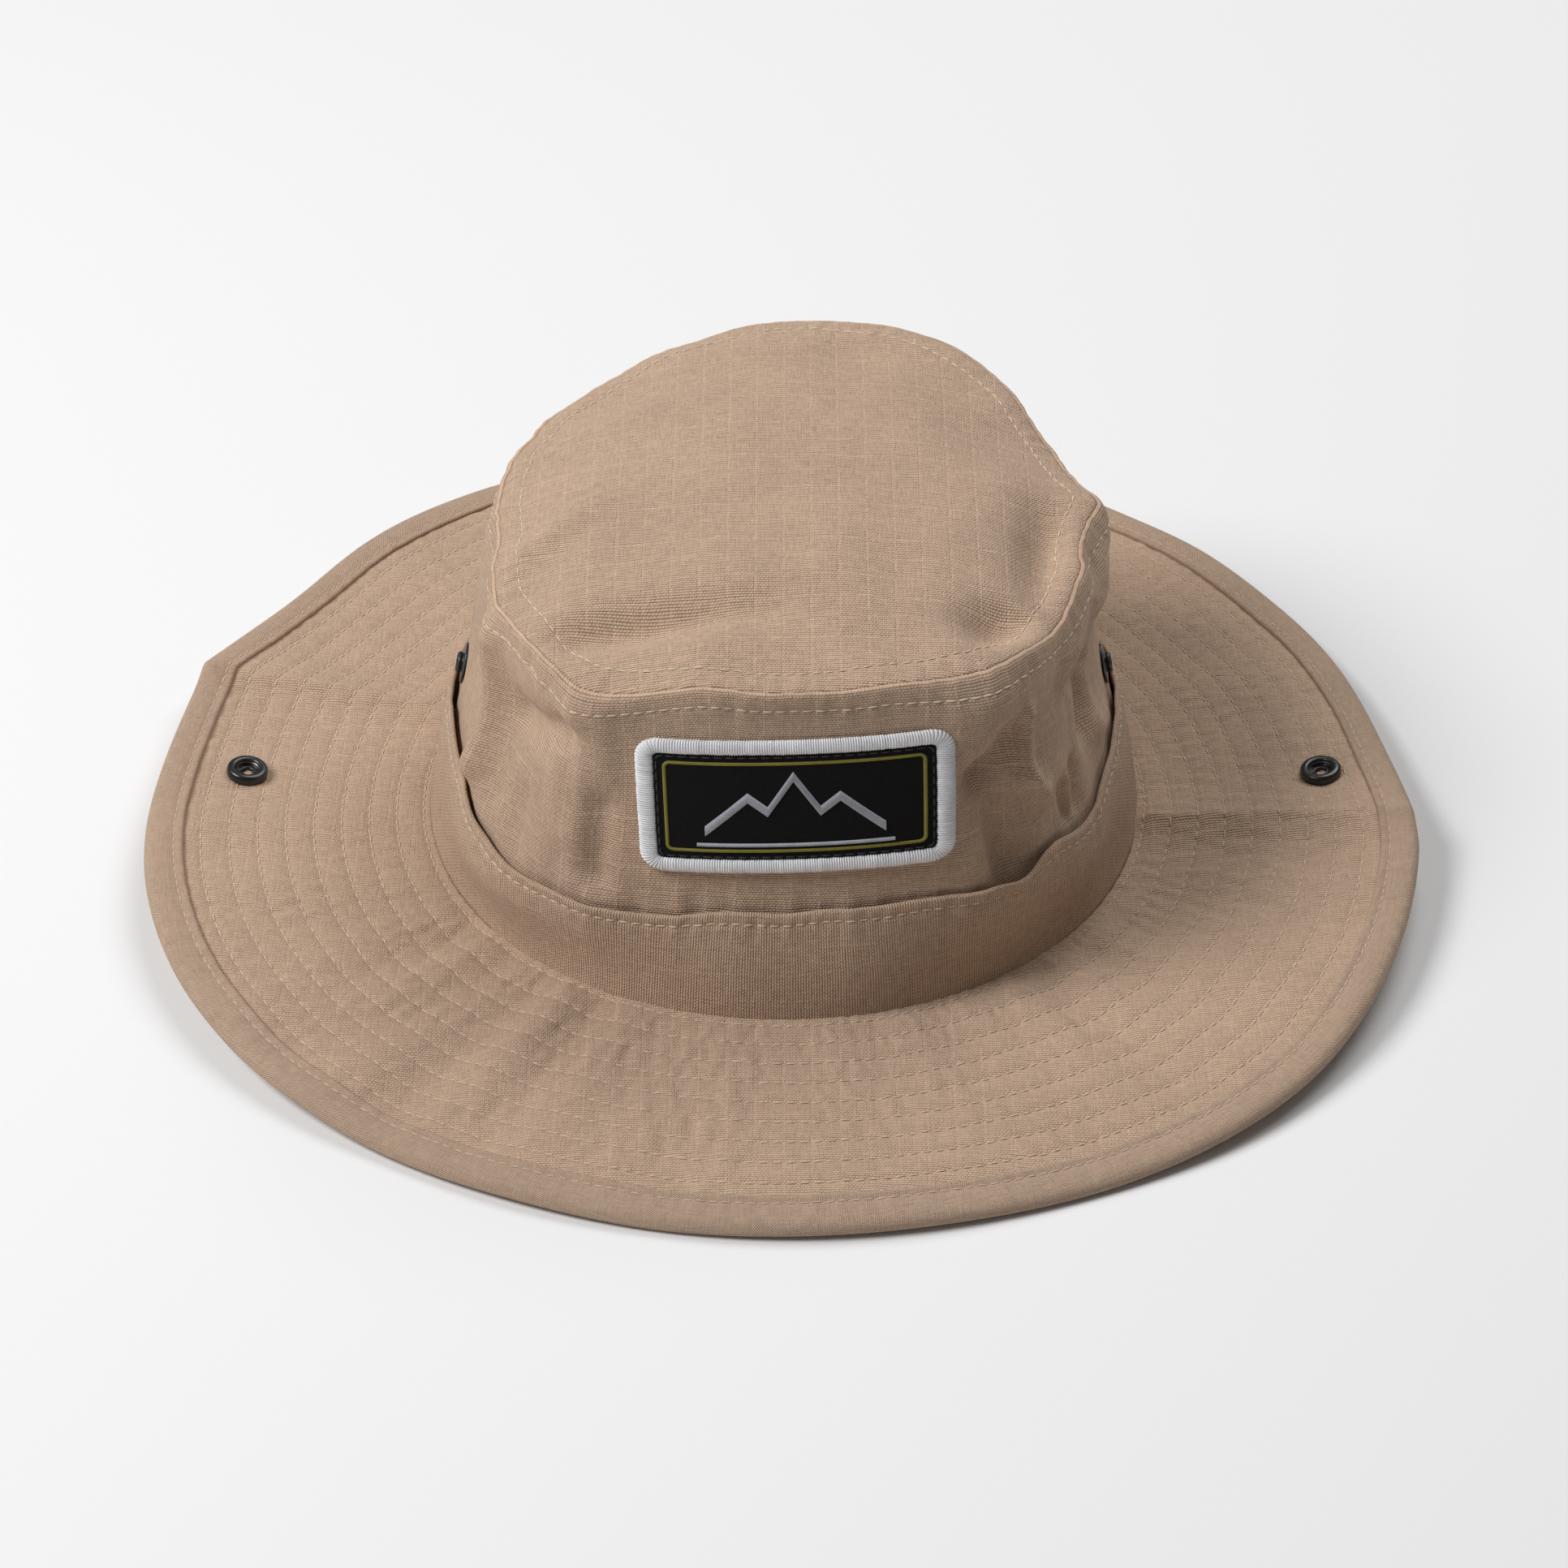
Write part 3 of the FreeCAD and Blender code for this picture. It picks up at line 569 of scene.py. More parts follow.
def tape_surface(angle, inward, rise):
    ripple = 0.10 * waves(angle, inward, 31, 90, 190, 12, 0.35)
    ripple = ripple * smooth(inward, 1.5, 4.0) * (1 - smooth(inward, 9.2, 10.0))
    calm = smooth(np.abs(turn(angle, 0)), 0.5, 3) * smooth(np.abs(turn(angle, 180)), 0.5, 3)
    return binding_path(angle, inward, rise + ripple * calm * np.sign(rise + 1.2))


def make_binding(side, word):
    angle = half_angles(side, 460)[None, :]
    profile = np.array(TAPE)
    inward, rise = profile[:, 0:1], profile[:, 1:2]
    points = tape_surface(angle, np.broadcast_to(inward, (len(TAPE), angle.size)), rise)
    rim = binding_path(angle[0], np.zeros(angle.size), np.zeros(angle.size))
    around = np.concatenate([[0], np.cumsum(np.linalg.norm(np.diff(rim, axis=0), axis=1))])
    girth = np.concatenate([[0], np.cumsum(np.linalg.norm(np.diff(profile, axis=0), axis=1)), [0]])
    girth[-1] = girth[-2] + 1
    uv = closed_uv(around[None, :] / 10, girth[:, None] / 10)
    other = "front_edge_binding" if side < 0 else "back_edge_binding"
    piece = grid_piece(f"edge_binding_{word}", points, uv, binding_cloth, loop_rows=True,
                       flip=side < 0)
    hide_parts(f"{word}_edge_binding", other)
    bend(piece)
    path_angle = half_angles(side, 1100)
    for name, depth, sign in (("binding_stitches_top", 0.72, 1), ("binding_stitches_under", -3.02, -1)):
        inward_line = np.full_like(path_angle, 7.6)
        path = tape_surface(path_angle, inward_line, np.full_like(path_angle, depth))
        up = facing_up(normals_of(lambda a, b: binding_path(a, b, np.zeros_like(b)), path_angle, inward_line)) * sign
        row = stitch_row(path, up, 3.1, 2.4, 0.22, 0.05, 5)
        stitches = stitched(f"{name}_{word}", [row], binding_thread)
        bend(stitches)


# ---------------------------------------------------------------- crown

def crown_axes(z):
    """Half width, half length and middle of the crown's outline at a height."""
    lean_x = math.tan(LEAN)
    above = soft_ramp(z - WAIST_Z, 3.0)
    half_width = BASE_HALF_WIDTH - lean_x * (z - BASE_Z) + (lean_x - 0.028) * above
    front = -BASE_HALF_LENGTH + 0.219 * (z - BASE_Z)
    back = BASE_HALF_LENGTH - 0.1078 * (z - BASE_Z)
    return half_width, (back - front) / 2, (back + front) / 2


def sum_near(angle, shapes):
    """The sum of soft bumps round the hat: (middle, width, amount)."""
    return sum(amount * near(angle, middle, width) for middle, width, amount in shapes)


# Where the soft top seam sags or stands up, and where it leans in: (middle and width in degrees, mm).
SEAM_RISE = [(-33, 11, -3.4), (-62, 11, -2.2), (58, 11, -3.6), (-14, 9, 0.8), (20, 12, 0.7),
             (-104, 18, -4.0), (-138, 20, -5.0), (-163, 10, -2.0), (152, 18, 2.8), (112, 14, -3.0)]
SEAM_LEAN = [(-80, 14, -2.4), (-96, 20, -4.6), (-135, 22, -4.0), (76, 14, -2.6), (112, 16, -4.5)]


def seam_height(angle):
    """Height of the seam between the side wall and the top panel."""
    z = 94.3 - 4.2 * np.cos(angle) - 2.6 * np.sin(angle) ** 2
    return z + sum_near(angle, SEAM_RISE) + 0.14 * waves(angle, 0, 41, 9, 24, 7, 0)


PATCH_MIDDLE = 60.8
PATCH_SHIFT = 2.5
PATCH_FLATNESS = 240.0


def front_flat(angle, z):
    """The stiff patch holds the crown's front flatter than the rest of its outline."""
    half_width, half_length, _ = crown_axes(z)
    x = half_width * np.sin(angle)
    natural = half_width ** 2 / half_length
    reach = np.minimum(np.abs(x), 46)
    stretch = reach ** 2 / 2 * (1 / natural - 1 / PATCH_FLATNESS)
    fade = 1 - smooth(np.abs(x), 42, 70)
    level = (0.12 + 0.88 * smooth(z, 8, 42)) * (1 - 0.55 * smooth(z, 82, 92))
    return (stretch - 2.4) * fade * level * (np.cos(angle) > 0)


# Soft folds of the side wall: from (angle, height) to (angle, height), half width in mm, push out in mm.
WALL_FOLDS = [
    ((-62, 80), (-62, 46), 5.5, 4.2),
    ((-62, 46), (-57, 34), 5.5, 2.4),
    ((-80, 86), (-78, 58), 8.0, -1.6),
    ((-52, 66), (-38, 73), 5.2, -3.6),
    ((-20, 92), (-37, 79), 4.5, 1.1),
    ((-47, 85), (-45, 77), 2.2, -0.7),
    ((-41, 84), (-39, 77), 2.2, -0.6),
    ((-41, 62), (-36, 50), 7.0, 2.0),
    ((-31, 56), (-31, 38), 4.6, -3.8),
    ((-48, 46), (-47, 32), 5.0, -2.0),
    ((-36, 40), (-30, 34), 4.0, -1.0),
    ((40, 70), (34.5, 62), 4.6, -4.0),
    ((34.5, 62), (38, 36), 5.2, -5.4),
    ((44, 74), (43.5, 58), 2.8, 3.4),
    ((43.5, 58), (47, 50), 2.8, 3.4),
    ((54, 60), (52, 52), 9.0, 3.0),
    ((53, 46), (54, 36), 2.2, -2.2),
    ((58, 46), (57, 36), 2.4, -2.0),
    ((55.5, 45), (55.5, 36), 1.6, 1.2),
    ((61, 66), (73, 63), 2.6, -3.2),
    ((69, 57), (67, 50), 4.2, -4.4),
    ((69, 47), (77, 42), 4.0, 2.2),
    ((72, 86), (60, 76), 5.0, 2.6),
    ((92, 88), (78, 76), 6.5, 4.6),
    ((43, 32), (48, 27), 3.4, -1.6),
    ((150, 80), (143, 50), 8.0, -2.4),
    ((162, 84), (158, 44), 7.0, 1.8),
    ((-160, 82), (-150, 46), 8.0, -2.2),
    ((-138, 78), (-131, 44), 7.0, 1.8),
    ((112, 84), (120, 54), 7.0, 1.6),
    ((-118, 86), (-112, 58), 7.0, -1.4),
    ((176, 86), (-178, 56), 10.0, -1.6),
]


def fold_relief(angle, z):
    total = 0
    for (a1, z1), (a2, z2), width, push in WALL_FOLDS:
        scale = 86 * math.pi / 180
        along_s, along_z = ((a2 - a1 + 180) % 360 - 180) * scale, z2 - z1
        length2 = along_s ** 2 + along_z ** 2
        ds, dz = turn(angle, a1) * scale, z - z1
        share = np.clip((ds * along_s + dz * along_z) / length2, 0, 1)
        off2 = (ds - share * along_s) ** 2 + (dz - share * along_z) ** 2
        total = total + push * np.exp(-off2 / width ** 2)
    return total


def wall_bulge(angle, z):
    """The broad roundness of the soft wall, out from the crown's plain shape."""
    out = 6.2 * near(angle, -50, 17) * hump(z, 30, 26) + 3.6 * near(angle, 52, 16) * hump(z, 30, 24)
    return out + 3.4 * near(angle, -48, 22) * smooth(z, 50, 90) + 3.0 * near(angle, 50, 22) * smooth(z, 50, 90)


def wall_push(angle, z):
    """How far the soft wall stands out from the crown's plain shape, with its folds, seam and stitching."""
    seam = seam_height(angle)
    out = wall_bulge(angle, z)
    out = out + fold_relief(angle, z) * (1 - 0.8 * near(angle, 0, 24)) * smooth(z, 26, 39)
    lively = 1 - 0.75 * hump(seam - z, 0, 9)
    out = out + lively * (0.30 * waves(angle, z, 51, 14, 40, 10, 0.05) + 0.16 * waves(angle, z, 52, 40, 80, 10, 0.12))
    out = out + 1.0 * hump(seam - z, 9, 7)
    base = smooth(z, BASE_Z, 24)
    stud_z = FOLD_Z + SNAP_REACH * math.cos(LEAN)
    for side in (-90, 90):
        away2 = (turn(angle, side) * 1.46) ** 2 + (z - stud_z) ** 2
        out = out * (1 - np.exp(-((away2 / 10.0 ** 2) ** 2)))
    patch = np.exp(-((turn(angle, 0) / 29) ** 8)) * np.exp(-(((z - PATCH_MIDDLE) / 24) ** 8))
    out = out * base * (1 - patch) + front_flat(angle, z)
    out = out + sum_near(angle, SEAM_LEAN) * smooth(z, 62, 96)
    pucker = 0.10 * waves(angle, z, 53, 60, 120, 12, 0.25) * hump(seam - z, 3, 5)
    ridge = 0.14 * smooth(seam - z, 0.2, 1.4) * (1 - smooth(seam - z, 5.2, 6.6))
    stitch_dip = -0.22 * hump(seam - z, 4.6, 0.7)
    groove = -0.85 * hump(seam - z, 0, 0.26)
    return out + pucker + ridge + stitch_dip + groove


def wall_at(angle, z, push):
    half_width, half_length, middle = crown_axes(z)
    x, y = half_width * np.sin(angle), middle - half_length * np.cos(angle)
    nx, ny = np.sin(angle) / half_width, -np.cos(angle) / half_length
    size = np.sqrt(nx ** 2 + ny ** 2)
    return np.stack(np.broadcast_arrays(x + push * nx / size, y + push * ny / size, z), -1)


def wall_surface(angle, z):
    return wall_at(angle, z, wall_push(angle, z))


WALL_COLUMNS = 620


def full_turn(count):
    return np.arange(count) * TAU / count - math.pi


def arc_uv(count, radius, heights):
    """A closed band's weave: length round a mean radius, and height."""
    u = np.arange(count + 1) * TAU * radius / count / 10
    return closed_uv(u[None, :], np.append(heights, heights[-1] + 1)[:, None] / 10)


def make_wall():
    angle = full_turn(WALL_COLUMNS)[None, :]
    seam = seam_height(angle)
    below_seam = np.array([8.0, 6.8, 6.0, 5.2, 4.9, 4.6, 4.3, 3.9, 3.2, 2.4, 1.8, 1.2, 0.8, 0.55, 0.38, 0.25, 0.12,
                           0])
    h = np.concatenate([np.linspace(0, 0.9, 62), 1 - below_seam / WALL_SPAN])[:, None]
    outer = wall_surface(angle, BASE_Z + (seam - BASE_Z) * h)
    h_in = np.linspace(1, 0, 26)[:, None]
    z_in = BASE_Z + (seam - 0.3 - BASE_Z) * h_in
    inner = wall_at(angle, z_in, wall_push(angle, z_in) * (0.2 + 0.8 * smooth(h_in, 0, 0.4)) - SOFT_CLOTH)
    points = np.concatenate([outer, inner])
    heights = np.concatenate([h[:, 0], 2 - h_in[:, 0]]) * 92
    piece = grid_piece("crown_wall", points, arc_uv(WALL_COLUMNS, 84, heights), crown_cloth,
                       loop_rows=True, loop_columns=True)
    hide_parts("crown_side_wall")
    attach(piece, "crown")


# Soft dents of the top panel: middle x and y, half sizes, turn in degrees, push up in mm.
TOP_DENTS = [
    (-36, -50, 25, 6, 8, -5.6), (-8, -32, 26, 12, 0, 1.0), (-63, -16, 22, 5.5, 41, 2.4), (-66, -2, 8, 14, 20, -1.0),
    (52, -47, 9, 7, 20, -6.2), (66, -14, 7, 19, -5, -5.4), (59, -37, 11, 4.5, -35, 1.6), (58, 26, 12, 16, -20, -1.4),
    (38, -20, 16, 20, 20, 1.0), (-60, 22, 14, 22, 12, -1.0), (-40, 50, 26, 9, 28, -2.2), (-50, 34, 24, 9, 28, 1.2),
    (20, 62, 24, 10, -10, -1.6), (-12, 66, 20, 8, 10, 1.0), (0, 10, 44, 34, 0, 1.0),
]


def dent_relief(x, y):
    total = 0
    for mx, my, rx, ry, degrees, push in TOP_DENTS:
        c, s = math.cos(math.radians(degrees)), math.sin(math.radians(degrees))
        a = ((x - mx) * c + (y - my) * s) / rx
        b = (-(x - mx) * s + (y - my) * c) / ry
        total = total + push * np.exp(-(a * a + b * b))
    return total


TOP_CENTRE = (0.0, 5.0)
TOP_RADIUS = 79.0


def top_surface(angle, rho):
    """The top panel, from its middle at 0 to the seam at 1."""
    seam = wall_surface(angle, seam_height(angle))
    x = TOP_CENTRE[0] + rho * (seam[..., 0] - TOP_CENTRE[0])
    y = TOP_CENTRE[1] + rho * (seam[..., 1] - TOP_CENTRE[1])
    inward = (1 - rho) * TOP_RADIUS
    plain = 92.6 + 0.052 * (y - TOP_CENTRE[1])
    z = plain + (seam[..., 2] - plain) * rho ** 4
    z = z + 6.6 * (1 - rho ** 2) + 1.8 * (1 - rho ** 9)
    calm = smooth(rho, 0, 0.15)
    z = z + dent_relief(x, y) * (1 - smooth(rho, 0.9, 1.0) * 0.7)
    z = z + (0.45 * rumple(x, y, 61, 42) + 0.14 * rumple(x, y, 62, 16)) * (1 - smooth(rho, 0.93, 1.0))
    z = z + calm * 0.12 * waves(angle, inward, 63, 60, 120, 12, 0.3) * hump(inward, 3, 6)
    z = z + 0.12 * smooth(inward, 0.2, 1.6) * (1 - smooth(inward, 6.6, 8.0))
    z = z - 0.22 * hump(inward, 6.2, 0.7) - 0.95 * hump(inward, 0, 0.26)
    return np.stack([x, y, z], -1)


def make_top():
    count = WALL_COLUMNS
    angle = full_turn(count)[None, :]
    edge = np.array([12, 10.5, 9.2, 8.2, 7.4, 6.9, 6.5, 6.2, 5.9, 5.5, 4.8, 4.0, 3.1, 2.3, 1.7, 1.2, 0.8, 0.55, 0.38,
                     0.25, 0.12, 0])
    rho = np.concatenate([np.linspace(0.012, 0.84, 52), 1 - edge / TOP_RADIUS])[:, None]
    outer = top_surface(angle, rho)
    rho_in = np.linspace(0.985, 0.012, 16)[:, None]
    inner = top_surface(angle, rho_in) - [0, 0, SOFT_CLOTH]
    points = np.concatenate([outer, inner])
    rows = len(points)
    index = np.arange(rows * count).reshape(rows, count)
    after = np.roll(index, -1, axis=1)
    faces = np.stack([index[:-1], index[1:], after[1:], after[:-1]], -1).reshape(-1, 4)[:, ::-1].tolist()
    faces += [index[0][::-1].tolist(), index[-1].tolist()]
    flat = points.reshape(-1, 3)
    corner_index = np.array([i for face in faces for i in face])
    piece = add_piece("crown_top", points, faces, flat[corner_index][:, :2] / 10, crown_cloth)
    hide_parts("crown_top_panel")
    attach(piece, "crown")


def make_crown_stitches():
    angle = np.linspace(-math.pi, math.pi, 1500)
    below = seam_height(angle) - 4.6
    wall_path = wall_surface(angle, below)
    wall_up = facing_out(normals_of(wall_surface, angle, below, 1e-3, 0.1), wall_path)
    rho = np.full_like(angle, 1 - 6.2 / TOP_RADIUS)
    top_up = facing_up(normals_of(top_surface, angle, rho))
    rows = [stitch_row(wall_path, wall_up, 3.2, 2.7, 0.26, 0.13),
            stitch_row(top_surface(angle, rho), top_up, 3.2, 2.7, 0.26, 0.13)]
    piece = stitched("crown_seam_stitches", rows, cream_thread)
    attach(piece, "crown")


# ---------------------------------------------------------------- band, sweatband and seam tape

BAND_RISE = [(-25, 13, -3.2), (-47, 9, -3.4), (-60, 8, 0.6), (57, 9, -2.6), (26, 9, 1.2), (-84, 12, 2.2),
             (86, 10, 1.6), (47, 4, 1.3), (40, 4, -2.2)]


def band_height(angle):
    z = 33.4 + 2.6 * np.sin(angle) ** 4 + sum_near(angle, BAND_RISE)
    return z + 0.3 * waves(angle, 0, 71, 10, 26, 8, 0)


def band_push(angle, share, z):
    """Outward distance of the band's outer face from the crown's plain shape."""
    top = band_height(angle) + 0 * z
    base = smooth(z, BASE_Z, 24)
    follow = wall_bulge(angle, z) * base + front_flat(angle, z)
    crowded = np.maximum(wall_push(angle, top) - wall_bulge(angle, top) - front_flat(angle, top), 0)
    gape = 0.8 + 0.4 * near(angle, -82, 15) + 0.3 * near(angle, 84, 14) + 0.5 * near(angle, 40, 8)
    belly = 0.45 * np.sin(np.pi * share) * (1 + 0.5 * waves(angle, z, 72, 8, 20, 6, 0.05))
    return 1.75 + follow + (gape + 0.8 * crowded) * share ** 2 + belly


def band_surface(angle, share):
    z = BAND_FOOT + (band_height(angle) - BAND_FOOT) * share
    dip = -0.26 * hump((1 - share) * BAND_SPAN, 2.7, 0.6)
    dip = dip + 0.10 * waves(angle, z, 73, 90, 170, 12, 0.3) * hump(share, 0.93, 0.12)
    return wall_at(angle, z, band_push(angle, share, z) + dip)


def make_band():
    count = WALL_COLUMNS
    angle = full_turn(count)[None, :]
    below_edge = np.array([4.2, 3.6, 3.1, 2.9, 2.7, 2.5, 2.2, 1.7, 1.1, 0.5])
    share = np.concatenate([np.linspace(0, 0.84, 20), 1 - below_edge / BAND_SPAN])[:, None]
    outer = band_surface(angle, share)
    fold = []
    for back, over in ((0.05, 0.35), (0.3, 0.62), (0.72, 0.74), (1.15, 0.6), (1.4, 0.2)):
        z = band_height(angle) + over - 0.5
        fold.append(wall_at(angle, z, band_push(angle, 1 + 0 * z, band_height(angle)) - back))
    share_in = np.linspace(0.97, 0, 8)[:, None]
    z_in = BAND_FOOT + (band_height(angle) - BAND_FOOT) * share_in
    inner = wall_at(angle, z_in, band_push(angle, share_in, z_in) - 1.45)
    points = np.concatenate([outer, *fold, inner])
    steps = np.linalg.norm(np.diff(points[:, 0], axis=0), axis=1)
    heights = np.concatenate([[0], np.cumsum(steps)])
    piece = grid_piece("hat_band_soft", points, arc_uv(count, 91, heights), band_cloth,
                       loop_rows=True, loop_columns=True)
    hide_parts("hat_band")
    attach(piece, "crown")
    path_angle = np.linspace(-math.pi, math.pi, 1500)
    line = np.full_like(path_angle, 1 - 2.7 / BAND_SPAN)
    path = band_surface(path_angle, line)
    up = facing_out(normals_of(band_surface, path_angle, line), path)
    stitches = stitched("band_stitches", [stitch_row(path, up, 3.2, 2.6, 0.25, 0.10)], cream_thread)
    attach(stitches, "crown")


def loop_strip(name, profile, material, radius, ripple):
    """A closed strip inside the crown. profile is (depth inside the crown's outline, height) round its section."""
    count = 300
    angle = full_turn(count)[None, :]
    section = np.array(profile)
    depth, z = section[:, 0:1], section[:, 1:2]
    sway = ripple * waves(angle, z, 81, 5, 16, 8, 0.03)
    points = wall_at(angle, z + 0 * angle, -depth + sway)
    steps = np.linalg.norm(np.diff(section, axis=0), axis=1)
    heights = np.concatenate([[0], np.cumsum(steps)])
    return grid_piece(name, points, arc_uv(count, radius, heights), material, loop_rows=True,
                      loop_columns=True)


def make_inside():
    profile = [(2.5, 0.9), (2.9, 0.75), (3.3, 1.1), (3.4, 2.0), (3.15, 3.0), (3.3, 4.0), (3.5, 8.0), (3.6, 14.0),
               (3.6, 22.0), (3.5, 30.0), (3.3, 32.0), (3.15, 33.0), (3.3, 34.0), (3.1, 34.9), (2.7, 34.7),
               (2.5, 30.0), (2.5, 22.0), (2.5, 14.0), (2.5, 8.0), (2.4, 3.0)]
    sweatband = loop_strip("sweatband_soft", profile, sweat_cloth, 88, 0.18)
    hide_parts("sweatband")
    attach(sweatband, "crown")
    angle = np.linspace(-math.pi, math.pi, 1200)
    rows = []
    for depth, z in ((3.3, 3.0), (3.3, 33.0)):
        path = wall_at(angle, np.full_like(angle, z), -depth + 0.18 * waves(angle, z, 81, 5, 16, 8, 0.03))
        inwards = unit(np.array([0, 5.0, 0]) - path * [1, 1, 0])
        rows.append(stitch_row(path, inwards, 3.3, 2.7, 0.26, 0.15, 5))
    stitches = stitched("sweatband_stitches", rows, tan_thread)
    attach(stitches, "crown")
    count = 300
    angle = full_turn(count)[None, :]
    section = [(1.6, -1.7), (9.5, -0.9), (9.9, -1.2), (9.6, -1.6), (5.0, -2.4), (2.0, -2.7), (1.5, -2.3)]
    rings = []
    for inward, drop in section:
        ring = top_surface(angle, 1 - (inward + 0.4) / TOP_RADIUS + 0 * angle)[0]
        ring = ring + [0, 0, drop]
        rings.append(ring)
    points = np.stack(rings)
    heights = np.array([0, 8, 8.5, 9, 13.6, 16.6, 17.2])
    tape = grid_piece("top_seam_tape_soft", points, arc_uv(count, 74, heights), tape_cloth,
                      loop_rows=True, loop_columns=True)
    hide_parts("top_seam_tape")
    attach(tape, "crown")


# ---------------------------------------------------------------- patch

PATCH_W, PATCH_H = 73.8, 35.9
PATCH_TILT = math.radians(1.5)


def patch_point(a, b, lift):
    """A point on the patch: across, up, and out from the crown's front."""
    c, s = math.cos(PATCH_TILT), math.sin(PATCH_TILT)
    x, z = PATCH_SHIFT + a * c - b * s, PATCH_MIDDLE + (a * s + b * c) * math.cos(LEAN)
    half_width, _, _ = crown_axes(z)
    angle = np.arcsin(np.clip(x / half_width, -1, 1))
    return wall_at(angle, z, front_flat(angle, PATCH_MIDDLE) + 0.25 + lift)


def rounded_loop(half_w, half_h, corner, count):
    """Points and outward directions round a rounded rectangle, evenly spaced."""
    straight_w, straight_h = 2 * (half_w - corner), 2 * (half_h - corner)
    quarter = math.pi * corner / 2
    total = 2 * straight_w + 2 * straight_h + 4 * quarter
    place = np.arange(count) * total / count
    points, ways = np.zeros((count, 2)), np.zeros((count, 2))
    for k, s in enumerate(place):
        s = float(s)
        for side, (length, way) in enumerate(((straight_w, -90), (quarter, None), (straight_h, 0), (quarter, None),
                                              (straight_w, 90), (quarter, None), (straight_h, 180), (quarter, None))):
            if s > length:
                s -= length
                continue
            corner_at = [(1, -1), (1, 1), (-1, 1), (-1, -1)][side // 2]
            middle = np.array([corner_at[0] * (half_w - corner), corner_at[1] * (half_h - corner)])
            if way is None:
                bearing = math.radians(-90 + 90 * (side // 2) + 90 * s / quarter)
                out = np.array([math.cos(bearing), math.sin(bearing)])
                points[k] = middle + corner * out
            else:
                out = np.array([math.cos(math.radians(way)), math.sin(math.radians(way))])
                ahead = np.array([-out[1], out[0]])
                points[k] = middle + corner * out - ahead * (length - s)
            ways[k] = out
            break
    return points, ways


def make_patch():
    # Twill field
    a = np.linspace(-1, 1, 60)[None, :] * (PATCH_W / 2 - 3.2)
    b = np.linspace(-1, 1, 30)[:, None] * (PATCH_H / 2 - 3.2)
    a, b = np.broadcast_arrays(a, b)
    front, back = patch_point(a, b, 0.95), patch_point(a, b, 0.2)
    points = np.concatenate([front, back[::-1]])
    flat = np.stack([a, b], -1)
    uv = np.concatenate([flat, flat[::-1], flat[:1]]) / 10
    field = grid_piece("patch_field_twill", points, uv, patch_cloth, loop_rows=True)
    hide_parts("patch_field")
    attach(field, "crown")
    # Merrowed border: threads wound over the patch's edge
    threads, per_thread = 330, 8
    count = threads * per_thread
    rng = np.random.default_rng(9)
    loop, out = rounded_loop(PATCH_W / 2 - 1.95, PATCH_H / 2 - 1.95, 3.2, count)
    phase = np.arange(count) / per_thread
    thickness = np.interp(phase, np.arange(threads + 1), np.append(rng.normal(0, 1, threads), 0) * 0.07)
    bead = 0.26 * (np.abs(np.sin(np.pi * phase)) - 0.5) + 0.5 * thickness
    section = np.radians(np.array([-32, -8, 14, 36, 58, 80, 102, 124, 146, 168, 190, 212, 250, 290]))
    rings = []
    for turn_by in section:
        reach, lift = 1.85 * math.cos(turn_by), 0.72 + 0.95 * math.sin(turn_by)
        place = loop + out * (reach + bead * math.cos(turn_by))[:, None]
        rings.append(patch_point(place[:, 0], place[:, 1], np.maximum(lift + bead * math.sin(turn_by), -0.1)))
    points = np.stack(rings)
    uv = closed_uv(np.arange(count + 1)[None, :] * 0.01, np.arange(len(section) + 1)[:, None] * 0.1)
    border = grid_piece("patch_border_merrow", points, uv, white_thread, loop_rows=True,
                        loop_columns=True)
    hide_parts("patch_border")
    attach(border, "crown")
    # Running stitch that holds the patch, just inside the border
    loop, _ = rounded_loop(PATCH_W / 2 - 4.5, PATCH_H / 2 - 4.5, 1.2, 700)
    closed = np.concatenate([loop, loop[:1]])
    path = patch_point(closed[:, 0], closed[:, 1], 0.98)
    outward = unit(path * [1, 1, 0])
    running = stitched("patch_running_stitch", [stitch_row(path, outward, 2.9, 2.4, 0.26, 0.12)], dark_thread)
    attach(running, "crown")
    # Thin woven frame line
    loop, out = rounded_loop(PATCH_W / 2 - 6.2, PATCH_H / 2 - 6.2, 1.4, 1200)
    ridge = 0.05 * np.abs(np.sin(np.arange(1200) * math.pi / 3))
    rings = []
    for offset, lift in ((0.42, 0.93), (0.34, 1.12), (0.0, 1.2), (-0.34, 1.12), (-0.42, 0.93)):
        place = loop + out * offset
        rings.append(patch_point(place[:, 0], place[:, 1], lift + ridge))
    points = np.stack(rings)
    uv = closed_uv(np.arange(1201)[None, :] * 0.02, np.arange(6)[:, None] * 0.02)
    line = grid_piece("patch_frame_line", points, uv, olive_thread, loop_rows=True,
                      loop_columns=True)
    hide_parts("patch_inline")
    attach(line, "crown")
    make_motif()


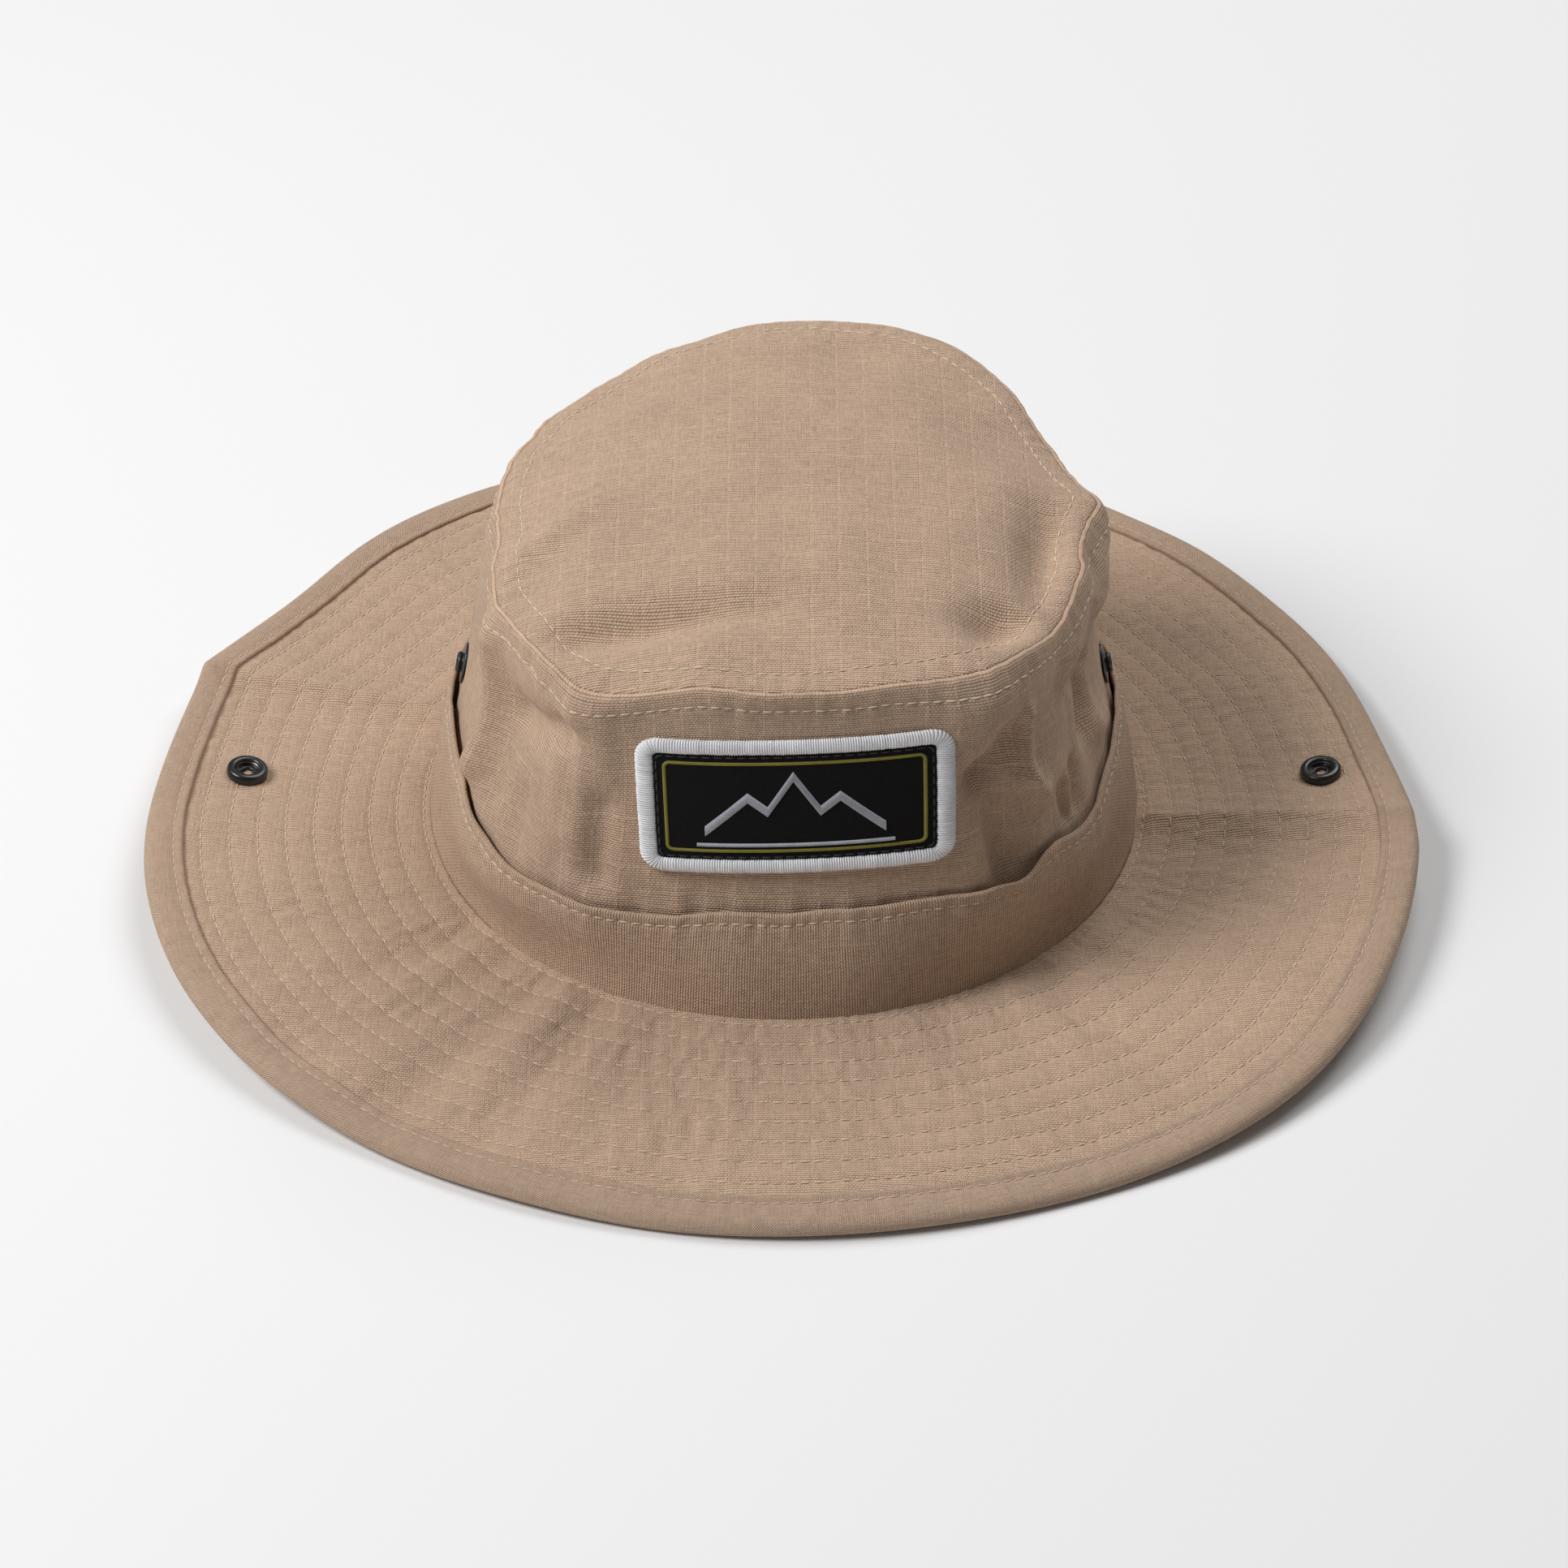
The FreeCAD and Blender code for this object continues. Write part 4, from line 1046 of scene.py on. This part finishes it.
def make_motif():
    """Three plain peaks in satin stitch: threads laid across a zigzag line, and one bar below."""
    corners = [(-22, -6.5), (-11.5, 2.6), (-6.6, -1.2), (0, 8.2), (6.6, -1.2), (11.5, 2.6), (22, -6.5)]
    points, faces, offset = [], [], 0

    def lay(start, end, half):
        nonlocal offset
        start, end = np.array(start, float), np.array(end, float)
        length = np.linalg.norm(end - start)
        count = int(length / 0.36)
        for k in range(count):
            middle = start + (end - start) * (k + 0.5) / count
            for v in (-1, -0.6, 0, 0.6, 1):
                for u, lift in ((-0.17, 0.95), (0.0, 1.0), (0.17, 0.95)):
                    place = middle + (end - start) / length * u + np.array([0.0, v * half])
                    rise = lift + (0.32 if u == 0 else 0.20) * (1 - v ** 4)
                    points.append(patch_point(np.array(place[0]), np.array(place[1]), rise))
            for row in range(4):
                for column in range(2):
                    at = offset + row * 3 + column
                    faces.append([at, at + 1, at + 4, at + 3])
            offset += 15

    for start, end in zip(corners, corners[1:]):
        lay(start, end, 1.35)
    lay((-24, -10.2), (24, -10.2), 0.5)
    motif = add_piece("patch_motif_peaks", np.array(points), faces, None, grey_thread)
    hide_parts("patch_motif")
    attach(motif, "crown")


# ---------------------------------------------------------------- snaps

def lathe(name, profile, place, axis, material, segments=56):
    """A turned piece: profile is (radius, height) round its section, axis is its own up direction."""
    axis = unit(np.array(axis, float))
    across = unit(np.cross([0.0, 1.0, 0.0], axis))
    other = np.cross(axis, across)
    bearing = np.arange(segments) * TAU / segments
    ring = np.cos(bearing)[:, None] * across + np.sin(bearing)[:, None] * other
    section = np.array(profile, float)
    points = np.array(place) + section[:, 0, None, None] * ring + section[:, 1, None, None] * axis
    uv = closed_uv(np.arange(segments + 1)[None, :] * 0.05, np.arange(len(section) + 1)[:, None] * 0.05)
    return grid_piece(name, points, uv, material, loop_rows=True, loop_columns=True)


def rounded(corners, radius, steps=4):
    """A closed section with its corners rounded."""
    made = []
    count = len(corners)
    for k in range(count):
        before, here, after = (np.array(corners[(k + d) % count], float) for d in (-1, 0, 1))
        reach_in = min(radius, 0.45 * np.linalg.norm(before - here))
        reach_out = min(radius, 0.45 * np.linalg.norm(after - here))
        start = here + unit(before - here) * reach_in
        end = here + unit(after - here) * reach_out
        for step in range(steps + 1):
            q = step / steps
            made.append((1 - q) ** 2 * start + 2 * q * (1 - q) * here + q ** 2 * end)
    return made


def make_snaps(side, word):
    tilt, lean = UPTURN, LEAN
    flap_up = np.array([-side * math.sin(tilt), 0, math.cos(tilt)])
    flap_out = np.array([side * math.cos(tilt), 0, math.sin(tilt)])
    hinge = np.array([side * FOLD_X, 0, FOLD_Z])
    seat = hinge + flap_out * SNAP_REACH + flap_up * 1.20
    socket = rounded([(1.9, 0.0), (5.5, 0.0), (5.5, 1.5), (5.1, 2.35), (4.3, 2.6), (3.45, 2.5), (3.1, 2.0),
                      (3.1, 1.7), (3.6, 1.6), (3.6, 1.0), (3.1, 0.9), (3.1, 0.62), (1.9, 0.62)], 0.4)
    piece = lathe(f"{word}_socket_turned", socket, seat, flap_up, snap_enamel)
    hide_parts(f"{word}_snap_socket")
    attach(piece, f"{word}_brim")
    under = hinge + flap_out * SNAP_REACH - flap_up * 1.20
    layers = 2.40
    seat_of = layers + 0.65
    cap = rounded([(0.02, -0.8), (3.9, -0.78), (5.5, -0.5), (5.9, -0.15), (5.7, 0.0), (1.8, 0.0), (1.8, seat_of),
                   (2.1, seat_of), (2.05, seat_of + 0.28), (1.75, seat_of + 0.4), (1.45, seat_of + 0.2), (1.4, 0.3),
                   (0.02, 0.25)], 0.18, 3)
    piece = lathe(f"{word}_cap_turned", cap, under, flap_up, snap_enamel)
    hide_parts(f"{word}_snap_cap")
    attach(piece, f"{word}_brim")
    wall_out = np.array([side * math.cos(lean), 0, math.sin(lean)])
    wall_up = np.array([-side * math.sin(lean), 0, math.cos(lean)])
    base = np.array([side * float(BASE_HALF_WIDTH), 0, BASE_Z])
    foot = float((hinge - base) @ wall_up)
    on_wall = base + wall_up * (foot + SNAP_REACH)
    stud = rounded([(1.9, 0.0), (5.5, 0.0), (5.5, 0.36), (5.1, 0.6), (2.75, 0.62), (2.55, 0.85), (2.6, 1.1),
                    (2.85, 1.4), (2.85, 1.8), (2.5, 2.2), (2.25, 2.2), (2.2, 2.0), (2.2, 0.62), (1.9, 0.6)], 0.2)
    piece = lathe(f"{word}_stud_turned", stud, on_wall + wall_out * 0.05, wall_out, snap_enamel)
    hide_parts(f"{word}_snap_stud")
    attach(piece, "crown")
    post_seat = 1.3 + 0.65
    post = rounded([(0.02, -0.6), (4.6, -0.58), (5.0, -0.3), (4.8, 0.0), (1.8, 0.0), (1.8, post_seat),
                    (2.1, post_seat), (2.05, post_seat + 0.28), (1.75, post_seat + 0.4), (1.45, post_seat + 0.2),
                    (1.4, 0.3), (0.02, 0.25)], 0.18, 3)
    piece = lathe(f"{word}_post_turned", post, on_wall - wall_out * 1.25, wall_out, snap_enamel)
    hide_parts(f"{word}_stud_post")
    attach(piece, "crown")
    spring = frame["nodes"][f"{word}_socket_spring"]
    spring.data.materials.clear()
    spring.data.materials.append(spring_steel)


# ---------------------------------------------------------------- light, floor and camera

# The studio is in metres.
LIT_POINT = (0, 0, 0.03)
FLOOR_REACH = 4.0
FLOOR_DROP = 0.0005
WORLD_LIGHT = 0.11
CAMERA_ELEVATION = math.radians(37)
CAMERA_DISTANCE = 1.2
CAMERA_TARGET = (0.0, 0.008, 0.0)
CAMERA_LENS = 102.1


def aim(piece, at):
    way = np.array(at) - np.array(piece.location)
    piece.rotation_euler = Vector(way).to_track_quat("-Z", "Y").to_euler()


def area_light(name, place, size, power):
    light = bpy.data.lights.new(name, "AREA")
    light.shape = "DISK"
    light.size = size
    light.energy = power
    holder = bpy.data.objects.new(name, light)
    bpy.context.scene.collection.objects.link(holder)
    holder.location = place
    aim(holder, LIT_POINT)


def make_studio():
    reach = FLOOR_REACH
    mesh = bpy.data.meshes.new("studio_floor")
    mesh.from_pydata([(-reach, -reach, 0), (reach, -reach, 0), (reach, reach, 0), (-reach, reach, 0)], [],
                     [(0, 1, 2, 3)])
    mesh.materials.append(paper_floor("studio_paper"))
    floor = bpy.data.objects.new("studio_floor", mesh)
    bpy.context.scene.collection.objects.link(floor)
    floor.location.z = -FLOOR_DROP
    world = bpy.data.worlds.new("studio_world")
    world.use_nodes = True
    world.node_tree.nodes["Background"].inputs["Color"].default_value = (1.0, 1.0, 1.0, 1.0)
    world.node_tree.nodes["Background"].inputs["Strength"].default_value = WORLD_LIGHT
    bpy.context.scene.world = world
    area_light("key", (-1.36, -0.25, 1.5), 1.0, 33)
    area_light("back", (0.6, 0.95, 1.6), 1.4, 18.5)
    bpy.context.scene.view_settings.view_transform = "Standard"


def make_camera():
    camera_data = bpy.data.cameras.new("camera")
    camera_data.sensor_width = 36
    camera_data.lens = CAMERA_LENS
    camera_data.clip_start = 0.05
    camera = bpy.data.objects.new("camera", camera_data)
    bpy.context.scene.collection.objects.link(camera)
    camera.location = (CAMERA_TARGET[0], CAMERA_TARGET[1] - CAMERA_DISTANCE * math.cos(CAMERA_ELEVATION),
                       CAMERA_DISTANCE * math.sin(CAMERA_ELEVATION))
    aim(camera, CAMERA_TARGET)
    bpy.context.scene.camera = camera


make_camera()
make_studio()
for side, word in ((1, "right"), (-1, "left")):
    make_brim_cloth(side, word)
    make_quilt_stitches(side, word)
    make_binding(side, word)
    make_snaps(side, word)
make_wall()
make_top()
make_crown_stitches()
make_band()
make_inside()
make_patch()
